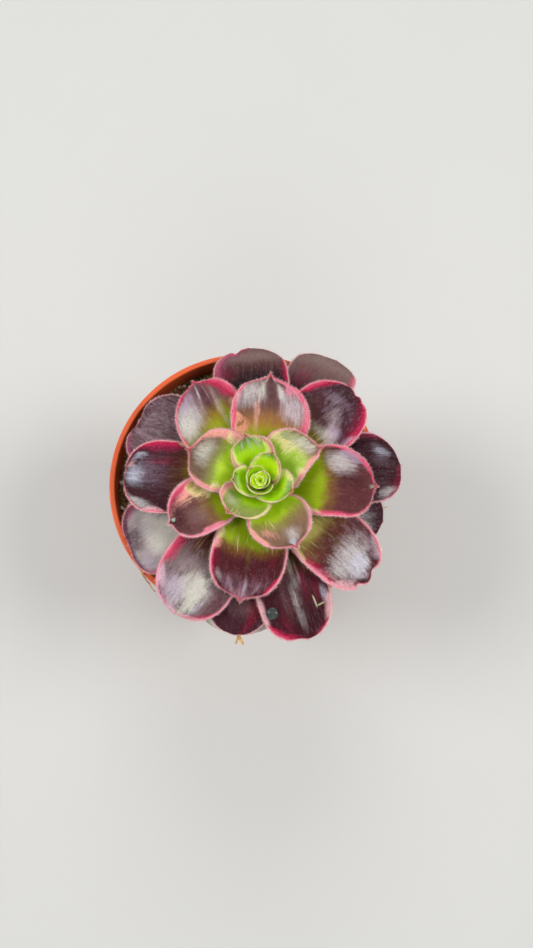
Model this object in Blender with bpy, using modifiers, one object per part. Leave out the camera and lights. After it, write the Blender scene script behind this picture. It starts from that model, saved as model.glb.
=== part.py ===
"""Potted aeonium: a rosette of fleshy leaves on a short stem, in peat, in a plastic nursery pot.

The pot stands on the XY plane with its axis on Z. The leaves are numbered by age, from the bud outwards, and
each grows 137.5 degrees round the stem from the one before it. A leaf's upper face lies on a surface of
revolution round the stem, so a younger leaf nests in the cup of an older one. Lengths are in millimetres.
"""

import math
from collections import namedtuple

import bmesh
import bpy
from mathutils import Vector

MM = 0.001  # metres in a millimetre
GAP = 0.3  # between pieces that touch

# Pot
POT_HEIGHT = 92.0
RIM_RADIUS = 52.5
RIM_WIDTH = 2.2
COLLAR_HEIGHT = 11.0
COLLAR_STEP = 1.6
FOOT_RADIUS = 37.5
WALL = 1.2
FLOOR = 1.8
GROOVE_INNER, GROOVE_OUTER, GROOVE_DEPTH = 19.0, 33.0, 1.6
DRAIN_COUNT, DRAIN_RADIUS, DRAIN_CIRCLE = 8, 3.6, 26.0
CHANNEL_COUNT, CHANNEL_WIDTH, CHANNEL_DEPTH = 4, 5.0, 1.1
TURNED_STEPS = 48

# Soil
SOIL_DROP = 8.5  # from the rim down to the soil at the wall
SOIL_CROWN = 1.2  # how much higher it is at the middle

# Stem
STEM_X, STEM_Y = 6.5, -4.5
STEM_RADIUS = 5.5
STEM_IN_SOIL = 24.0
STEM_STEPS = 16
TIP_RADIUS = 0.6
TAPER_AGE = 9  # the stem has its full radius from this leaf down
CROWN_RISE = 19.8  # the stem's end above the rim
LEAF_PITCH = 0.8  # from one leaf's foot down to the next
LOWEST_FOOT = -5.6  # an old leaf's foot rests just over the soil
BUD_RADIUS, BUD_HEIGHT = 1.9, 5.2

# Rosette
GOLDEN_ANGLE = 137.5
FIRST_TURN = 227.5
LEAF_COLUMNS = 6
FOOT_ROWS, TIP_ROWS = 4, 5
MARGIN_SHARE = 0.5  # the margin's thickness over the middle's
MARGIN_LIFT = 0.8  # how far the margins curl up beside the widest part

# turn: degrees off the golden angle. bend: degrees that the tip swings sideways. reach: from the stem's axis
# to the tip. rise: the tip above the rim. blunt: 2 is an ellipse's end, 4 is nearly square. point: 0.5 is
# a round end, 1 is a pointed one.
Leaf = namedtuple("Leaf", "age turn bend reach rise width blunt point")
LEAVES = [
    Leaf(1, 4, 0, 3.8, 24.6, 5.5, 2.0, 0.6),
    Leaf(2, 1, 0, 5.2, 25.0, 7.5, 2.0, 0.6),
    Leaf(3, -14, -5, 6.8, 25.3, 9.0, 2.0, 0.7),
    Leaf(4, 10, -2, 9.8, 25.5, 12.5, 2.0, 0.7),
    Leaf(5, -4, -3, 10.6, 25.0, 13.0, 2.0, 0.7),
    Leaf(6, 4, -3, 12.5, 24.5, 14.5, 2.0, 0.7),
    Leaf(7, -3, 4, 17.0, 24.0, 17.5, 2.0, 0.6),
    Leaf(8, -8, -10, 16.5, 23.5, 20.0, 2.2, 0.6),
    Leaf(9, 10, -4, 25.0, 22.5, 27.0, 2.0, 0.75),
    Leaf(10, -6, 1, 28.5, 22.0, 23.5, 2.0, 0.75),
    Leaf(11, -4, 2, 28.5, 21.0, 23.0, 2.0, 0.75),
    Leaf(12, 6, 1, 40.5, 20.0, 29.5, 2.2, 0.55),
    Leaf(13, -12, 2, 37.0, 18.0, 23.5, 2.6, 0.55),
    Leaf(14, 8, -1, 42.0, 17.0, 28.5, 2.6, 0.5),
    Leaf(15, -6, 4, 48.0, 16.0, 27.5, 2.6, 0.6),
    Leaf(16, -7, 0, 43.5, 14.0, 28.5, 2.6, 0.5),
    Leaf(17, 2, -2, 51.0, 13.0, 28.0, 3.0, 0.5),
    Leaf(18, -7, 0, 51.0, 12.0, 28.5, 3.0, 0.5),
    Leaf(19, 4, -2, 54.0, 10.0, 28.0, 2.7, 0.5),
    Leaf(20, -3, 0, 56.0, 9.0, 30.0, 4.5, 0.5),
    Leaf(21, -1, 1, 56.3, 8.0, 32.0, 3.0, 0.5),
    Leaf(22, -1, -2, 53.5, 7.0, 28.0, 4.0, 0.5),
    Leaf(23, 1, 0, 57.0, 6.0, 34.0, 3.6, 0.5),
    Leaf(24, -1, 1, 58.6, 6.0, 28.5, 3.2, 0.5),
    Leaf(25, -4, 0, 60.0, 5.0, 32.0, 5.0, 0.5),
    Leaf(26, 3, 0, 55.5, 4.0, 30.0, 4.0, 0.5),
    Leaf(27, 5, 0, 47.5, 4.0, 25.0, 3.0, 0.5),
    Leaf(29, 7, 0, 55.0, 4.8, 24.5, 3.0, 0.5),
]
FADED_LEAF = Leaf(37, -15, 0, 55.3, 1.8, 34.0, 4.0, 0.5)

# Roots that reach over the rim. forks gives the point that another one grows from, if not the one before it.
Root = namedtuple("Root", "name radius points forks")
ROOTS = [
    Root(
        "root_left",
        0.36,
        [
            (-29.5, -28.0, 84.4),
            (-33.4, -31.6, 90.0),
            (-36.0, -34.2, 92.9),
            (-38.0, -36.0, 93.0),
            (-37.0, -38.0, 92.0),
            (-35.7, -39.7, 91.0),
            (-34.8, -41.3, 90.3),
            (-33.5, -42.6, 89.6),
        ],
        {},
    ),
    Root(
        "root_right",
        0.3,
        [
            (43.5, -12.6, 84.4),
            (47.0, -12.6, 90.6),
            (49.2, -12.3, 93.0),
            (52.2, -11.6, 93.0),
            (54.5, -10.7, 92.4),
        ],
        {},
    ),
    Root(
        "root_front",
        0.5,
        [
            (-0.6, -43.6, 84.6),
            (-1.0, -47.4, 90.6),
            (-1.3, -50.0, 93.1),
            (-1.6, -54.6, 92.8),
            (-1.9, -58.6, 92.1),
            (-2.8, -61.6, 91.0),
            (-0.3, -61.9, 91.0),
        ],
        {6: 4},
    ),
]


def blend(age, ages, values):
    """A value that changes steadily with the leaf's age."""
    for k in range(1, len(ages)):
        if age <= ages[k]:
            share = (age - ages[k - 1]) / (ages[k] - ages[k - 1])
            return values[k - 1] + (values[k] - values[k - 1]) * share
    return values[-1]


def stem_radius(age):
    """The stem's radius where the leaf of that age sits on it."""
    return TIP_RADIUS + (STEM_RADIUS - TIP_RADIUS) * min(1.0, age / TAPER_AGE) ** 0.8


def leaf_foot(age):
    """(distance from the stem's axis, height above the rim) of a leaf's foot."""
    return stem_radius(age) + GAP, max(CROWN_RISE - LEAF_PITCH * age, LOWEST_FOOT)


def midrib(leaf):
    """The four control points of the leaf's arched midrib, in the plane through the stem's axis."""
    foot, tip = leaf_foot(leaf.age), (leaf.reach, leaf.rise)
    along, up = tip[0] - foot[0], tip[1] - foot[1]
    chord, length = math.atan2(up, along), math.hypot(along, up)
    arch = math.radians(blend(leaf.age, (1, 4, 8, 12, 17, 21, 30), (-14, -4, 10, 18, 20, 22, 22)))
    handle = 0.38 * length
    start = (foot[0] + handle * math.cos(chord + arch), foot[1] + handle * math.sin(chord + arch))
    end = (tip[0] - handle * math.cos(chord - arch), tip[1] - handle * math.sin(chord - arch))
    return foot, start, end, tip


def on_curve(points, t):
    """The point at t, 0 to 1, of a cubic Bezier curve."""
    weights = ((1 - t) ** 3, 3 * t * (1 - t) ** 2, 3 * t * t * (1 - t), t**3)
    return [sum(w * p[k] for w, p in zip(weights, points)) for k in range(2)]


def widest(age):
    """Where along the leaf, 0 to 1, it is widest."""
    return blend(age, (1, 9, 30), (0.50, 0.60, 0.68))


def half_width(leaf, t):
    """Half of the leaf's width at t along it: narrow at the foot, full, then its round or pointed end."""
    foot = blend(leaf.age, (1, 5, 9, 30), (0.62, 0.55, 0.40, 0.30))
    full = widest(leaf.age)
    if t < full:
        share = foot + (1 - foot) * math.sin(t / full * math.pi / 2) ** 1.25
    else:
        share = max(0.0, 1 - ((t - full) / (1 - full)) ** leaf.blunt) ** leaf.point
    return leaf.width / 2 * max(share, 0.03)


def leaf_point(leaf, t, side):
    """A point of the leaf's upper face, t along it and side across it, from -1 to 1."""
    radius, height = on_curve(midrib(leaf), t)
    turn = math.radians(FIRST_TURN + GOLDEN_ANGLE * leaf.age + leaf.turn + leaf.bend * t * t)
    turn += side * half_width(leaf, t) / radius
    height += MARGIN_LIFT * side * side * math.sin(math.pi * t) * min(1.0, leaf.width / 28)
    x = STEM_X + radius * math.cos(turn)
    y = STEM_Y + radius * math.sin(turn)
    return Vector((x, y, POT_HEIGHT + height)) * MM


def leaf_rows(age):
    """The places along a leaf that its faces follow, closer together where the end is round."""
    full = widest(age)
    rows = [full * k / FOOT_ROWS for k in range(FOOT_ROWS)]
    rows += [full + (1 - full) * math.sin(math.pi / 2 * k / TIP_ROWS) for k in range(TIP_ROWS + 1)]
    return rows


def finish(name, colour, roughness):
    """A material with that colour and roughness."""
    material = bpy.data.materials.new(name)
    material.use_nodes = True
    shader = material.node_tree.nodes["Principled BSDF"]
    shader.inputs["Base Color"].default_value = (*colour, 1)
    shader.inputs["Roughness"].default_value = roughness
    shader.inputs["Metallic"].default_value = 0.0
    return material


def add_object(name, data, collection, material=None):
    obj = bpy.data.objects.new(name, data)
    collection.objects.link(obj)
    if material:
        data.materials.append(material)
    return obj


def turned(name, profile, steps, collection, material):
    """An object turned round Z from (radius, height) points that run down its outer side."""
    mesh = bpy.data.meshes.new(name)
    edges = [(k, k + 1) for k in range(len(profile) - 1)]
    mesh.from_pydata([(r * MM, 0, z * MM) for r, z in profile], edges, [])
    obj = add_object(name, mesh, collection, material)
    screw = obj.modifiers.new("turn", "SCREW")
    screw.steps = screw.render_steps = steps
    screw.use_merge_vertices = True
    screw.merge_threshold = 0.00005
    screw.use_normal_calculate = True
    return obj


def add_cutter(name, shape, collection):
    """A helper object, left out of renders, made from the bmesh shape."""
    mesh = bpy.data.meshes.new(name)
    shape.to_mesh(mesh)
    shape.free()
    obj = add_object(name, mesh, collection)
    obj.hide_render = True
    obj.display_type = "WIRE"
    return obj


def cylinder_cutter(name, radius, low, high, collection):
    shape = bmesh.new()
    bmesh.ops.create_cone(
        shape, cap_ends=True, segments=24, radius1=radius * MM, radius2=radius * MM, depth=(high - low) * MM
    )
    bmesh.ops.translate(shape, vec=(0, 0, (low + high) / 2 * MM), verts=shape.verts)
    return add_cutter(name, shape, collection)


def channel_cutter(name, collection):
    """A box lying outwards from the groove under the pot, through the foot ring."""
    shape = bmesh.new()
    bmesh.ops.create_cube(shape, size=1.0)
    length = FOOT_RADIUS + 5 - GROOVE_OUTER + 2
    bmesh.ops.scale(shape, vec=(length * MM, CHANNEL_WIDTH * MM, 2 * CHANNEL_DEPTH * MM), verts=shape.verts)
    bmesh.ops.translate(shape, vec=((GROOVE_OUTER - 2 + length / 2) * MM, 0, 0), verts=shape.verts)
    return add_cutter(name, shape, collection)


def cut(obj, cutter):
    modifier = obj.modifiers.new(cutter.name, "BOOLEAN")
    modifier.operation = "DIFFERENCE"
    modifier.object = cutter


def wall_radius(height):
    """The pot's outer radius below its collar."""
    top = RIM_RADIUS - COLLAR_STEP
    return FOOT_RADIUS + (top - FOOT_RADIUS) * height / (POT_HEIGHT - COLLAR_HEIGHT)


def make_pot(parts, cutters):
    shoulder = POT_HEIGHT - COLLAR_HEIGHT
    inside = FLOOR + GROOVE_DEPTH
    bore = RIM_RADIUS - RIM_WIDTH
    profile = [
        (0, inside),
        (wall_radius(inside) - WALL - 1.0, inside),
        (wall_radius(inside + 1.0) - WALL, inside + 1.0),
        (wall_radius(shoulder) - WALL, shoulder),
        (bore, shoulder + 2.0),
        (bore, POT_HEIGHT - 0.4),
        (bore + 0.4, POT_HEIGHT),
        (RIM_RADIUS - 0.4, POT_HEIGHT),
        (RIM_RADIUS, POT_HEIGHT - 0.4),
        (RIM_RADIUS - 0.3, shoulder + 0.4),
        (RIM_RADIUS - 0.7, shoulder),
        (wall_radius(shoulder), shoulder),
        (wall_radius(1.2), 1.2),
        (FOOT_RADIUS - 1.0, 0),
        (GROOVE_OUTER, 0),
        (GROOVE_OUTER - 0.6, GROOVE_DEPTH),
        (GROOVE_INNER + 0.6, GROOVE_DEPTH),
        (GROOVE_INNER, 0),
        (0, 0),
    ]
    pot = turned("pot", profile, TURNED_STEPS, parts, finish("pot_plastic", (0.72, 0.13, 0.035), 0.45))
    for k in range(DRAIN_COUNT):
        turn = 2 * math.pi * (k + 0.5) / DRAIN_COUNT
        drain = cylinder_cutter(f"drain_{k + 1}", DRAIN_RADIUS, -1, inside + 1, cutters)
        drain.location = (DRAIN_CIRCLE * math.cos(turn) * MM, DRAIN_CIRCLE * math.sin(turn) * MM, 0)
        cut(pot, drain)
    for k in range(CHANNEL_COUNT):
        channel = channel_cutter(f"channel_{k + 1}", cutters)
        channel.rotation_euler.z = 2 * math.pi * k / CHANNEL_COUNT
        cut(pot, channel)


def make_soil(parts, cutters):
    top = POT_HEIGHT - SOIL_DROP
    low = FLOOR + GROOVE_DEPTH + GAP
    shoulder = POT_HEIGHT - COLLAR_HEIGHT
    inset = WALL + GAP + 0.05
    reach = wall_radius(shoulder) - inset
    profile = [
        (0, top + SOIL_CROWN),
        (reach * 0.35, top + SOIL_CROWN * 0.8),
        (reach * 0.7, top + SOIL_CROWN * 0.3),
        (reach, top),
        (reach, shoulder),
        (wall_radius(low + 1.5) - inset, low + 1.5),
        (wall_radius(low + 1.5) - inset - 1.5, low),
        (0, low),
    ]
    soil = turned("soil", profile, TURNED_STEPS, parts, finish("peat", (0.035, 0.022, 0.014), 0.95))
    socket = cylinder_cutter("stem_socket", STEM_RADIUS + GAP, top - STEM_IN_SOIL - GAP, POT_HEIGHT, cutters)
    socket.location = (STEM_X * MM, STEM_Y * MM, 0)
    cut(soil, socket)


def make_stem(parts):
    crown = POT_HEIGHT + CROWN_RISE
    foot = POT_HEIGHT - SOIL_DROP - STEM_IN_SOIL
    profile = [(0, crown + 0.3)]
    profile += [(stem_radius(age), crown - LEAF_PITCH * age) for age in (0, 2, 4, 6, TAPER_AGE)]
    profile += [(STEM_RADIUS, foot + 3), (STEM_RADIUS * 0.7, foot + 0.6), (0, foot)]
    stem = turned("stem", profile, STEM_STEPS, parts, finish("stem_bark", (0.20, 0.16, 0.07), 0.8))
    stem.location = (STEM_X * MM, STEM_Y * MM, 0)


def make_bud(parts):
    """The unopened leaves at the growing tip."""
    low = POT_HEIGHT + CROWN_RISE + 0.3 + GAP
    middle = low + BUD_HEIGHT / 2
    turns = [math.pi * k / 7 for k in range(8)]
    profile = [(BUD_RADIUS * math.sin(turn), middle + BUD_HEIGHT / 2 * math.cos(turn)) for turn in turns]
    profile[0], profile[-1] = (0, profile[0][1]), (0, profile[-1][1])
    bud = turned("bud", profile, 12, parts, finish("bud_green", (0.42, 0.62, 0.06), 0.4))
    bud.location = (STEM_X * MM, STEM_Y * MM, 0)


def make_leaf(leaf, name, parts, material):
    """One leaf: a grid laid on the leaf's upper face, with flesh under it that thins towards the margin."""
    rows = leaf_rows(leaf.age)
    shape = bmesh.new()
    bmesh.ops.create_grid(shape, x_segments=LEAF_COLUMNS, y_segments=len(rows) - 1, size=1.0)
    shares = []
    for vertex in shape.verts:
        side, row = vertex.co.x, round((vertex.co.y + 1) / 2 * (len(rows) - 1))
        shares.append(1 - (1 - MARGIN_SHARE) * side * side)
        # The grid's sides are swapped, so that its faces keep the upper face outwards.
        vertex.co = leaf_point(leaf, rows[row], -side)
    mesh = bpy.data.meshes.new(name)
    shape.to_mesh(mesh)
    shape.free()
    obj = add_object(name, mesh, parts, material)
    group = obj.vertex_groups.new(name="flesh")
    for index, share in enumerate(shares):
        group.add([index], share, "REPLACE")
    flesh = obj.modifiers.new("flesh", "SOLIDIFY")
    flesh.thickness = blend(leaf.age, (1, 9, 30, 37), (0.7, 1.4, 1.8, 0.9)) * MM
    flesh.offset = -1
    flesh.vertex_group = "flesh"


def make_root(root, parts, material):
    """A root drawn as a line, with a skin round it that thins towards its ends."""
    links = [(root.forks.get(k, k - 1), k) for k in range(1, len(root.points))]
    mesh = bpy.data.meshes.new(root.name)
    mesh.from_pydata([Vector(point) * MM for point in root.points], links, [])
    obj = add_object(root.name, mesh, parts, material)
    obj.modifiers.new("skin", "SKIN")
    starts = [link[0] for link in links]
    for k, vertex in enumerate(mesh.skin_vertices[0].data):
        radius = root.radius * MM * (1.0 if k in starts else 0.7)
        vertex.radius = (radius, radius)
        vertex.use_root = k == 0


def main():
    for obj in list(bpy.data.objects):
        bpy.data.objects.remove(obj, do_unlink=True)
    parts = bpy.data.collections.new("potted_aeonium")
    cutters = bpy.data.collections.new("cutters")
    for collection in (parts, cutters):
        bpy.context.scene.collection.children.link(collection)
    make_pot(parts, cutters)
    make_soil(parts, cutters)
    make_stem(parts)
    make_bud(parts)
    young = finish("leaf_green", (0.30, 0.45, 0.05), 0.35)
    old = finish("leaf_dark", (0.07, 0.01, 0.02), 0.35)
    for leaf in LEAVES:
        make_leaf(leaf, f"leaf_{leaf.age:02d}", parts, young if leaf.age < 12 else old)
    make_leaf(FADED_LEAF, "faded_leaf", parts, finish("leaf_faded", (0.60, 0.66, 0.42), 0.5))
    tan = finish("root_tan", (0.62, 0.36, 0.14), 0.8)
    for root in ROOTS:
        make_root(root, parts, tan)


main()
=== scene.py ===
"""Potted aeonium: the finished look of a variegated rosette in a nursery pot, built round its fixed frame.

The leaves are numbered by age, from the bud outwards. A place on a leaf is given by t, 0 at its foot and 1
at its tip, and s, -1 and 1 at its two margins, with 1 on its left, the anticlockwise side seen from above.
Sizes in the tables are in millimetres and angles in degrees. Every mesh is in metres.
"""

import math
from collections import namedtuple

import bpy
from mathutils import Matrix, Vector, noise


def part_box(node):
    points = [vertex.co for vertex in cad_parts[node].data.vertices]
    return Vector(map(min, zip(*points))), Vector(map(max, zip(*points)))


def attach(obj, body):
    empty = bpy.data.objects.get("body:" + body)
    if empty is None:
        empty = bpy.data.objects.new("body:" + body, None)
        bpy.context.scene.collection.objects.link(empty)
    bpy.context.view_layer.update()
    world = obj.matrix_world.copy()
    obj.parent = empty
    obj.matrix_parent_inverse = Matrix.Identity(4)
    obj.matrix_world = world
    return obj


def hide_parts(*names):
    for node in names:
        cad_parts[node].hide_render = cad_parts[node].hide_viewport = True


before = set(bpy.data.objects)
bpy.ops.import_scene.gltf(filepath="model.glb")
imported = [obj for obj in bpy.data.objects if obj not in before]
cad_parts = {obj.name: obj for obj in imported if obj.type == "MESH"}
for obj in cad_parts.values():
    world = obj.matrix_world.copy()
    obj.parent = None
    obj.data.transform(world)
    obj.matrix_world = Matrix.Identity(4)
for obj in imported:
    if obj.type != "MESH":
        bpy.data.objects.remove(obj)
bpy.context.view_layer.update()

bl_info = {
    "name": "Potted aeonium",
    "version": (1, 0, 0),
    "blender": (4, 5, 0),
    "location": "View3D > Sidebar > Aeonium",
    "description": "Builds a variegated aeonium in a plastic nursery pot",
    "category": "Add Mesh",
}

MM = 0.001  # metres in a millimetre
BODY = "root"
POT_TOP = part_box("pot")[1]
STEM_LOW, STEM_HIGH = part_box("stem")

# The pot and the soil
RIM_HEIGHT, RIM_RADIUS = POT_TOP.z / MM, POT_TOP.x / MM
RIM_WIDTH = 2.2
COLLAR_HEIGHT, COLLAR_STEP = 11.0, 1.6
SHOULDER = RIM_HEIGHT - COLLAR_HEIGHT
WALL, FLOOR_THICK = 1.2, 1.8
FOOT_RADIUS = 37.5
GROOVE_INNER, GROOVE_OUTER, GROOVE_DEPTH = 19.0, 33.0, 1.6
DRAINS, DRAIN_RADIUS, DRAIN_CIRCLE = 8, 3.6, 26.0
CHANNELS, CHANNEL_LENGTH, CHANNEL_WIDTH, CHANNEL_DEPTH = 4, 12.0, 5.0, 1.1
CHANNEL_CIRCLE = 37.0
SOIL_TOP, SOIL_CROWN = RIM_HEIGHT - 8.5, 1.2
SOIL_LOW = FLOOR_THICK + GROOVE_DEPTH + 0.3
BARE_FROM, BARE_TO = 20.0, 46.0  # the stretch of open soil outside the rosette's shade, from the pot's axis

# The stem, and the rule that the rosette follows
STEM_X, STEM_Y = 6.5, -4.5  # off the pot's axis
STEM_RADIUS, TIP_RADIUS, TAPER_AGE = 5.5, 0.6, 9
SCARS, SCAR_RADIUS, SCAR_DEPTH = 30, 2.3, 14.0  # how many leaf scars, their size, and the first under the top
GOLDEN_ANGLE = 137.5
FIRST_TURN = 227.5
CROWN_RISE, LEAF_PITCH, LOWEST_FOOT = 19.8, 0.8, -5.6
FOOT_GAP = 0.3
BUD_FOOT = (0.15, 20.6)  # where the folded leaves grow, from the stem's axis and over the rim
BUD_LEAN = (-0.3, -0.9)  # how far the growing tip stands off the stem's axis
LEANING_AGE = 3  # the oldest leaf that leans with the growing tip

DROP_PLACE = (10.4, -51.2)  # the drop's middle, seen from above
DROP_RADIUS, DROP_HEIGHT = 2.2, 1.7

# turn: off the golden angle. bend: how far the tip swings sideways. reach: from the stem's axis to the tip.
# rise: the tip over the rim. blunt: 2 is an ellipse's end, 4 is nearly square. point: 0.5 is a round end, 1
# a pointed one.
Leaf = namedtuple("Leaf", "age turn bend reach rise width blunt point")
LEAVES = [
    Leaf(1, 10, 0, 3.1, 24.4, 8.6, 1.8, 0.7),
    Leaf(2, -6, 0, 5.2, 25.0, 9.8, 1.8, 0.7),
    Leaf(3, -21, 0, 5.4, 25.0, 13.0, 1.8, 0.7),
    Leaf(4, 8, -2, 9.7, 25.5, 15.6, 1.5, 0.75),
    Leaf(5, -5, -2, 10.6, 25.0, 15.0, 1.9, 0.7),
    Leaf(6, 4, -3, 12.5, 24.5, 16.5, 1.9, 0.7),
    Leaf(7, -3, 4, 17.0, 24.0, 17.5, 2.0, 0.6),
    Leaf(8, -11, -10, 18.0, 23.5, 20.5, 2.2, 0.6),
    Leaf(9, 9, -4, 25.2, 22.5, 25.0, 2.0, 0.7),
    Leaf(10, -7, 1, 29.4, 22.0, 24.2, 2.2, 0.65),
    Leaf(11, -5, 2, 28.4, 21.0, 23.4, 2.0, 0.7),
    Leaf(12, 4, 1, 41.0, 20.0, 30.5, 2.4, 0.55),
    Leaf(13, -12, 2, 37.3, 18.0, 23.5, 2.8, 0.55),
    Leaf(14, 9, -1, 42.5, 17.0, 27.8, 2.9, 0.5),
    Leaf(15, -6, 4, 47.3, 16.0, 27.5, 2.6, 0.55),
    Leaf(16, -7, 0, 44.1, 14.0, 28.0, 2.7, 0.5),
    Leaf(17, 2, -2, 51.0, 13.0, 28.5, 3.0, 0.5),
    Leaf(18, -7, 0, 51.4, 12.0, 28.6, 4.6, 0.5),
    Leaf(19, 2, -2, 53.3, 10.0, 27.5, 3.4, 0.5),
    Leaf(20, -2, 0, 57.9, 9.0, 29.0, 5.5, 0.5),
    Leaf(21, 0, 1, 56.3, 8.0, 30.0, 3.4, 0.5),
    Leaf(22, -1, -2, 53.9, 7.0, 28.0, 4.6, 0.5),
    Leaf(23, 1, 0, 57.2, 6.0, 34.0, 4.4, 0.5),
    Leaf(24, -2, 1, 58.5, 6.0, 27.0, 3.6, 0.5),
    Leaf(25, -4, 0, 61.8, 5.0, 26.5, 6.0, 0.5),
    Leaf(26, 1, 0, 55.7, 4.0, 29.5, 4.4, 0.5),
    Leaf(27, 5, 0, 47.6, 4.0, 24.5, 3.0, 0.5),
    Leaf(29, 4.5, 0, 55.2, 4.8, 24.5, 3.4, 0.5),
]
FADED_LEAF = Leaf(37, -17, 0, 54.8, 1.8, 36.0, 4.0, 0.5)
# The leaves still folded round the growing tip, which are one bud in the frame
BUD_LEAVES = [
    Leaf(0, -19, 0, 3.9, 23.8, 10.2, 1.8, 0.7),
    Leaf(-1, -20, 0, 2.9, 23.8, 7.8, 1.8, 0.7),
    Leaf(-2, -12, 0, 2.3, 23.6, 6.2, 1.8, 0.7),
    Leaf(-3, -10, 0, 1.7, 23.5, 4.6, 1.8, 0.7),
    Leaf(-4, -8, 0, 1.1, 23.5, 3.0, 1.8, 0.7),
]
DARK_FROM = 12  # the youngest leaf that is dark

# How each leaf departs from the rule. left and right: that side's share of the half width, and how much
# squarer its end is. low: how much nearer to the foot the right side is widest, and widest: both sides, as
# shares of the length. ogee: how long the drawn-out tip is. spur: how far the tip stands out past its
# shoulders. skew: how far it stands to the left. lift: how far the margins turn up, and cup: how far the
# left and the right one pull in to the stem. droop: how far the end hangs. wave: the margins' waves. folds:
# lengthways folds near the end. notches: the depth of each in the end, where across the leaf it is, and its
# width, as shares of the half width.
NO_NOTCH = (0.0, 0.0, 0.1)
SHAPE = dict(
    left=(1.0, 0.0), right=(1.0, 0.0), low=0.0, widest=0.0, ogee=2.0, spur=0.0, skew=0.0, lift=0.8,
    cup=(0.0, 0.0), droop=0.0, wave=0.5, folds=0.4, notches=(NO_NOTCH, NO_NOTCH),
)
# What the spoon-shaped leaves with a drawn-out tip share, and the broad, squarer ones outside them
SPOON = dict(spur=0.8)
BROAD = dict(ogee=0.6)
SHAPES = {
    0: dict(ogee=1.0, spur=0.3, wave=0.0, folds=0.0, widest=-0.1),
    1: dict(ogee=1.2, spur=0.4, wave=0.0, folds=0.0, widest=-0.1, left=(1.05, 0.0)),
    2: dict(ogee=1.6, spur=0.4, wave=0.0, folds=0.1, widest=-0.05),
    3: dict(ogee=1.8, spur=0.5, wave=0.1, folds=0.1, widest=-0.1, left=(1.05, 0.0), right=(0.86, 0.0)),
    4: dict(ogee=2.2, spur=0.6, wave=0.2, folds=0.1, widest=-0.2, cup=(0.6, 0.8)),
    5: dict(ogee=1.8, spur=0.6, wave=0.2, folds=0.1, widest=-0.1, right=(0.86, 0.0), cup=(0.6, 0.0)),
    6: dict(
        spur=0.6, wave=0.2, folds=0.2, widest=-0.05, left=(0.9, 0.0), right=(1.15, 0.0), cup=(0.0, 1.6),
    ),
    7: dict(ogee=2.4, spur=0.7, wave=0.3, folds=0.2),
    8: dict(ogee=2.6, spur=0.7, wave=0.3, folds=0.2, cup=(1.3, 0.0)),
    9: dict(SPOON, ogee=3.2, skew=-1.4, low=0.22, left=(1.12, 0.4), right=(0.78, -1.25)),
    10: dict(SPOON, ogee=3.2, skew=0.8, right=(1.08, 0.3)),
    11: dict(SPOON, ogee=2.6, right=(1.1, 0.0)),
    12: dict(SPOON, ogee=3.6, wave=0.7, skew=1.8),
    13: dict(SPOON, ogee=1.6, wave=0.6, skew=0.5, left=(0.87, 0.0)),
    14: dict(SPOON, ogee=1.8, wave=0.6, skew=-2.4),
    15: dict(SPOON, ogee=2.4, wave=0.6, skew=-3.4, left=(1.12, 0.0), right=(0.92, 0.2)),
    16: dict(SPOON, ogee=2.6, wave=0.7, skew=-0.4),
    17: dict(BROAD, wave=0.9, folds=0.9, left=(1.06, 0.3), notches=((1.2, -0.05, 0.12), (0.8, -0.35, 0.1))),
    18: dict(BROAD, wave=0.9, folds=0.7, right=(0.96, 0.0), notches=((0.7, -0.05, 0.12), NO_NOTCH)),
    19: dict(BROAD, wave=1.0, folds=1.3, left=(0.94, 0.0), notches=((2.0, 0.12, 0.2), (1.6, -0.42, 0.1))),
    20: dict(BROAD, wave=0.8, folds=0.6, droop=4.5, notches=((1.5, 0.34, 0.09), NO_NOTCH)),
    21: dict(BROAD, wave=0.7, folds=0.8, widest=0.05),
    22: dict(BROAD, ogee=0.8, wave=0.7, folds=0.7, droop=1.5),
    23: dict(BROAD, wave=0.9, folds=0.7, droop=1.0, left=(0.93, 0.0), notches=((2.6, 0.0, 0.35), NO_NOTCH)),
    24: dict(BROAD, wave=0.9, folds=0.6, right=(1.0, 0.9), notches=((0.8, -0.2, 0.2), NO_NOTCH)),
    25: dict(BROAD, wave=0.8, folds=0.6, droop=4.5, left=(1.1, 4.0), right=(0.93, 3.0)),
    26: dict(
        BROAD, wave=0.8, folds=0.6, left=(1.03, 2.2), right=(1.05, 0.5),
        notches=((1.6, 0.0, 0.4), NO_NOTCH),
    ),
    27: dict(BROAD, ogee=0.8, wave=0.6, folds=0.5, droop=1.0),
    29: dict(BROAD, wave=0.7, folds=0.5, right=(1.0, 0.6)),
    37: dict(BROAD, wave=0.6, folds=0.8, lift=0.3),
}


def colour(red, green, blue):
    """A colour given as 0 to 255 on a screen, as linear light with alpha."""
    parts = [v / 255 for v in (red, green, blue)]
    return (*(v / 12.92 if v <= 0.04045 else ((v + 0.055) / 1.055) ** 2.4 for v in parts), 1.0)


def dimmed(tone, shares):
    """A colour with its red, green and blue multiplied."""
    return (*(part * share for part, share in zip(tone, shares)), 1.0)


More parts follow.
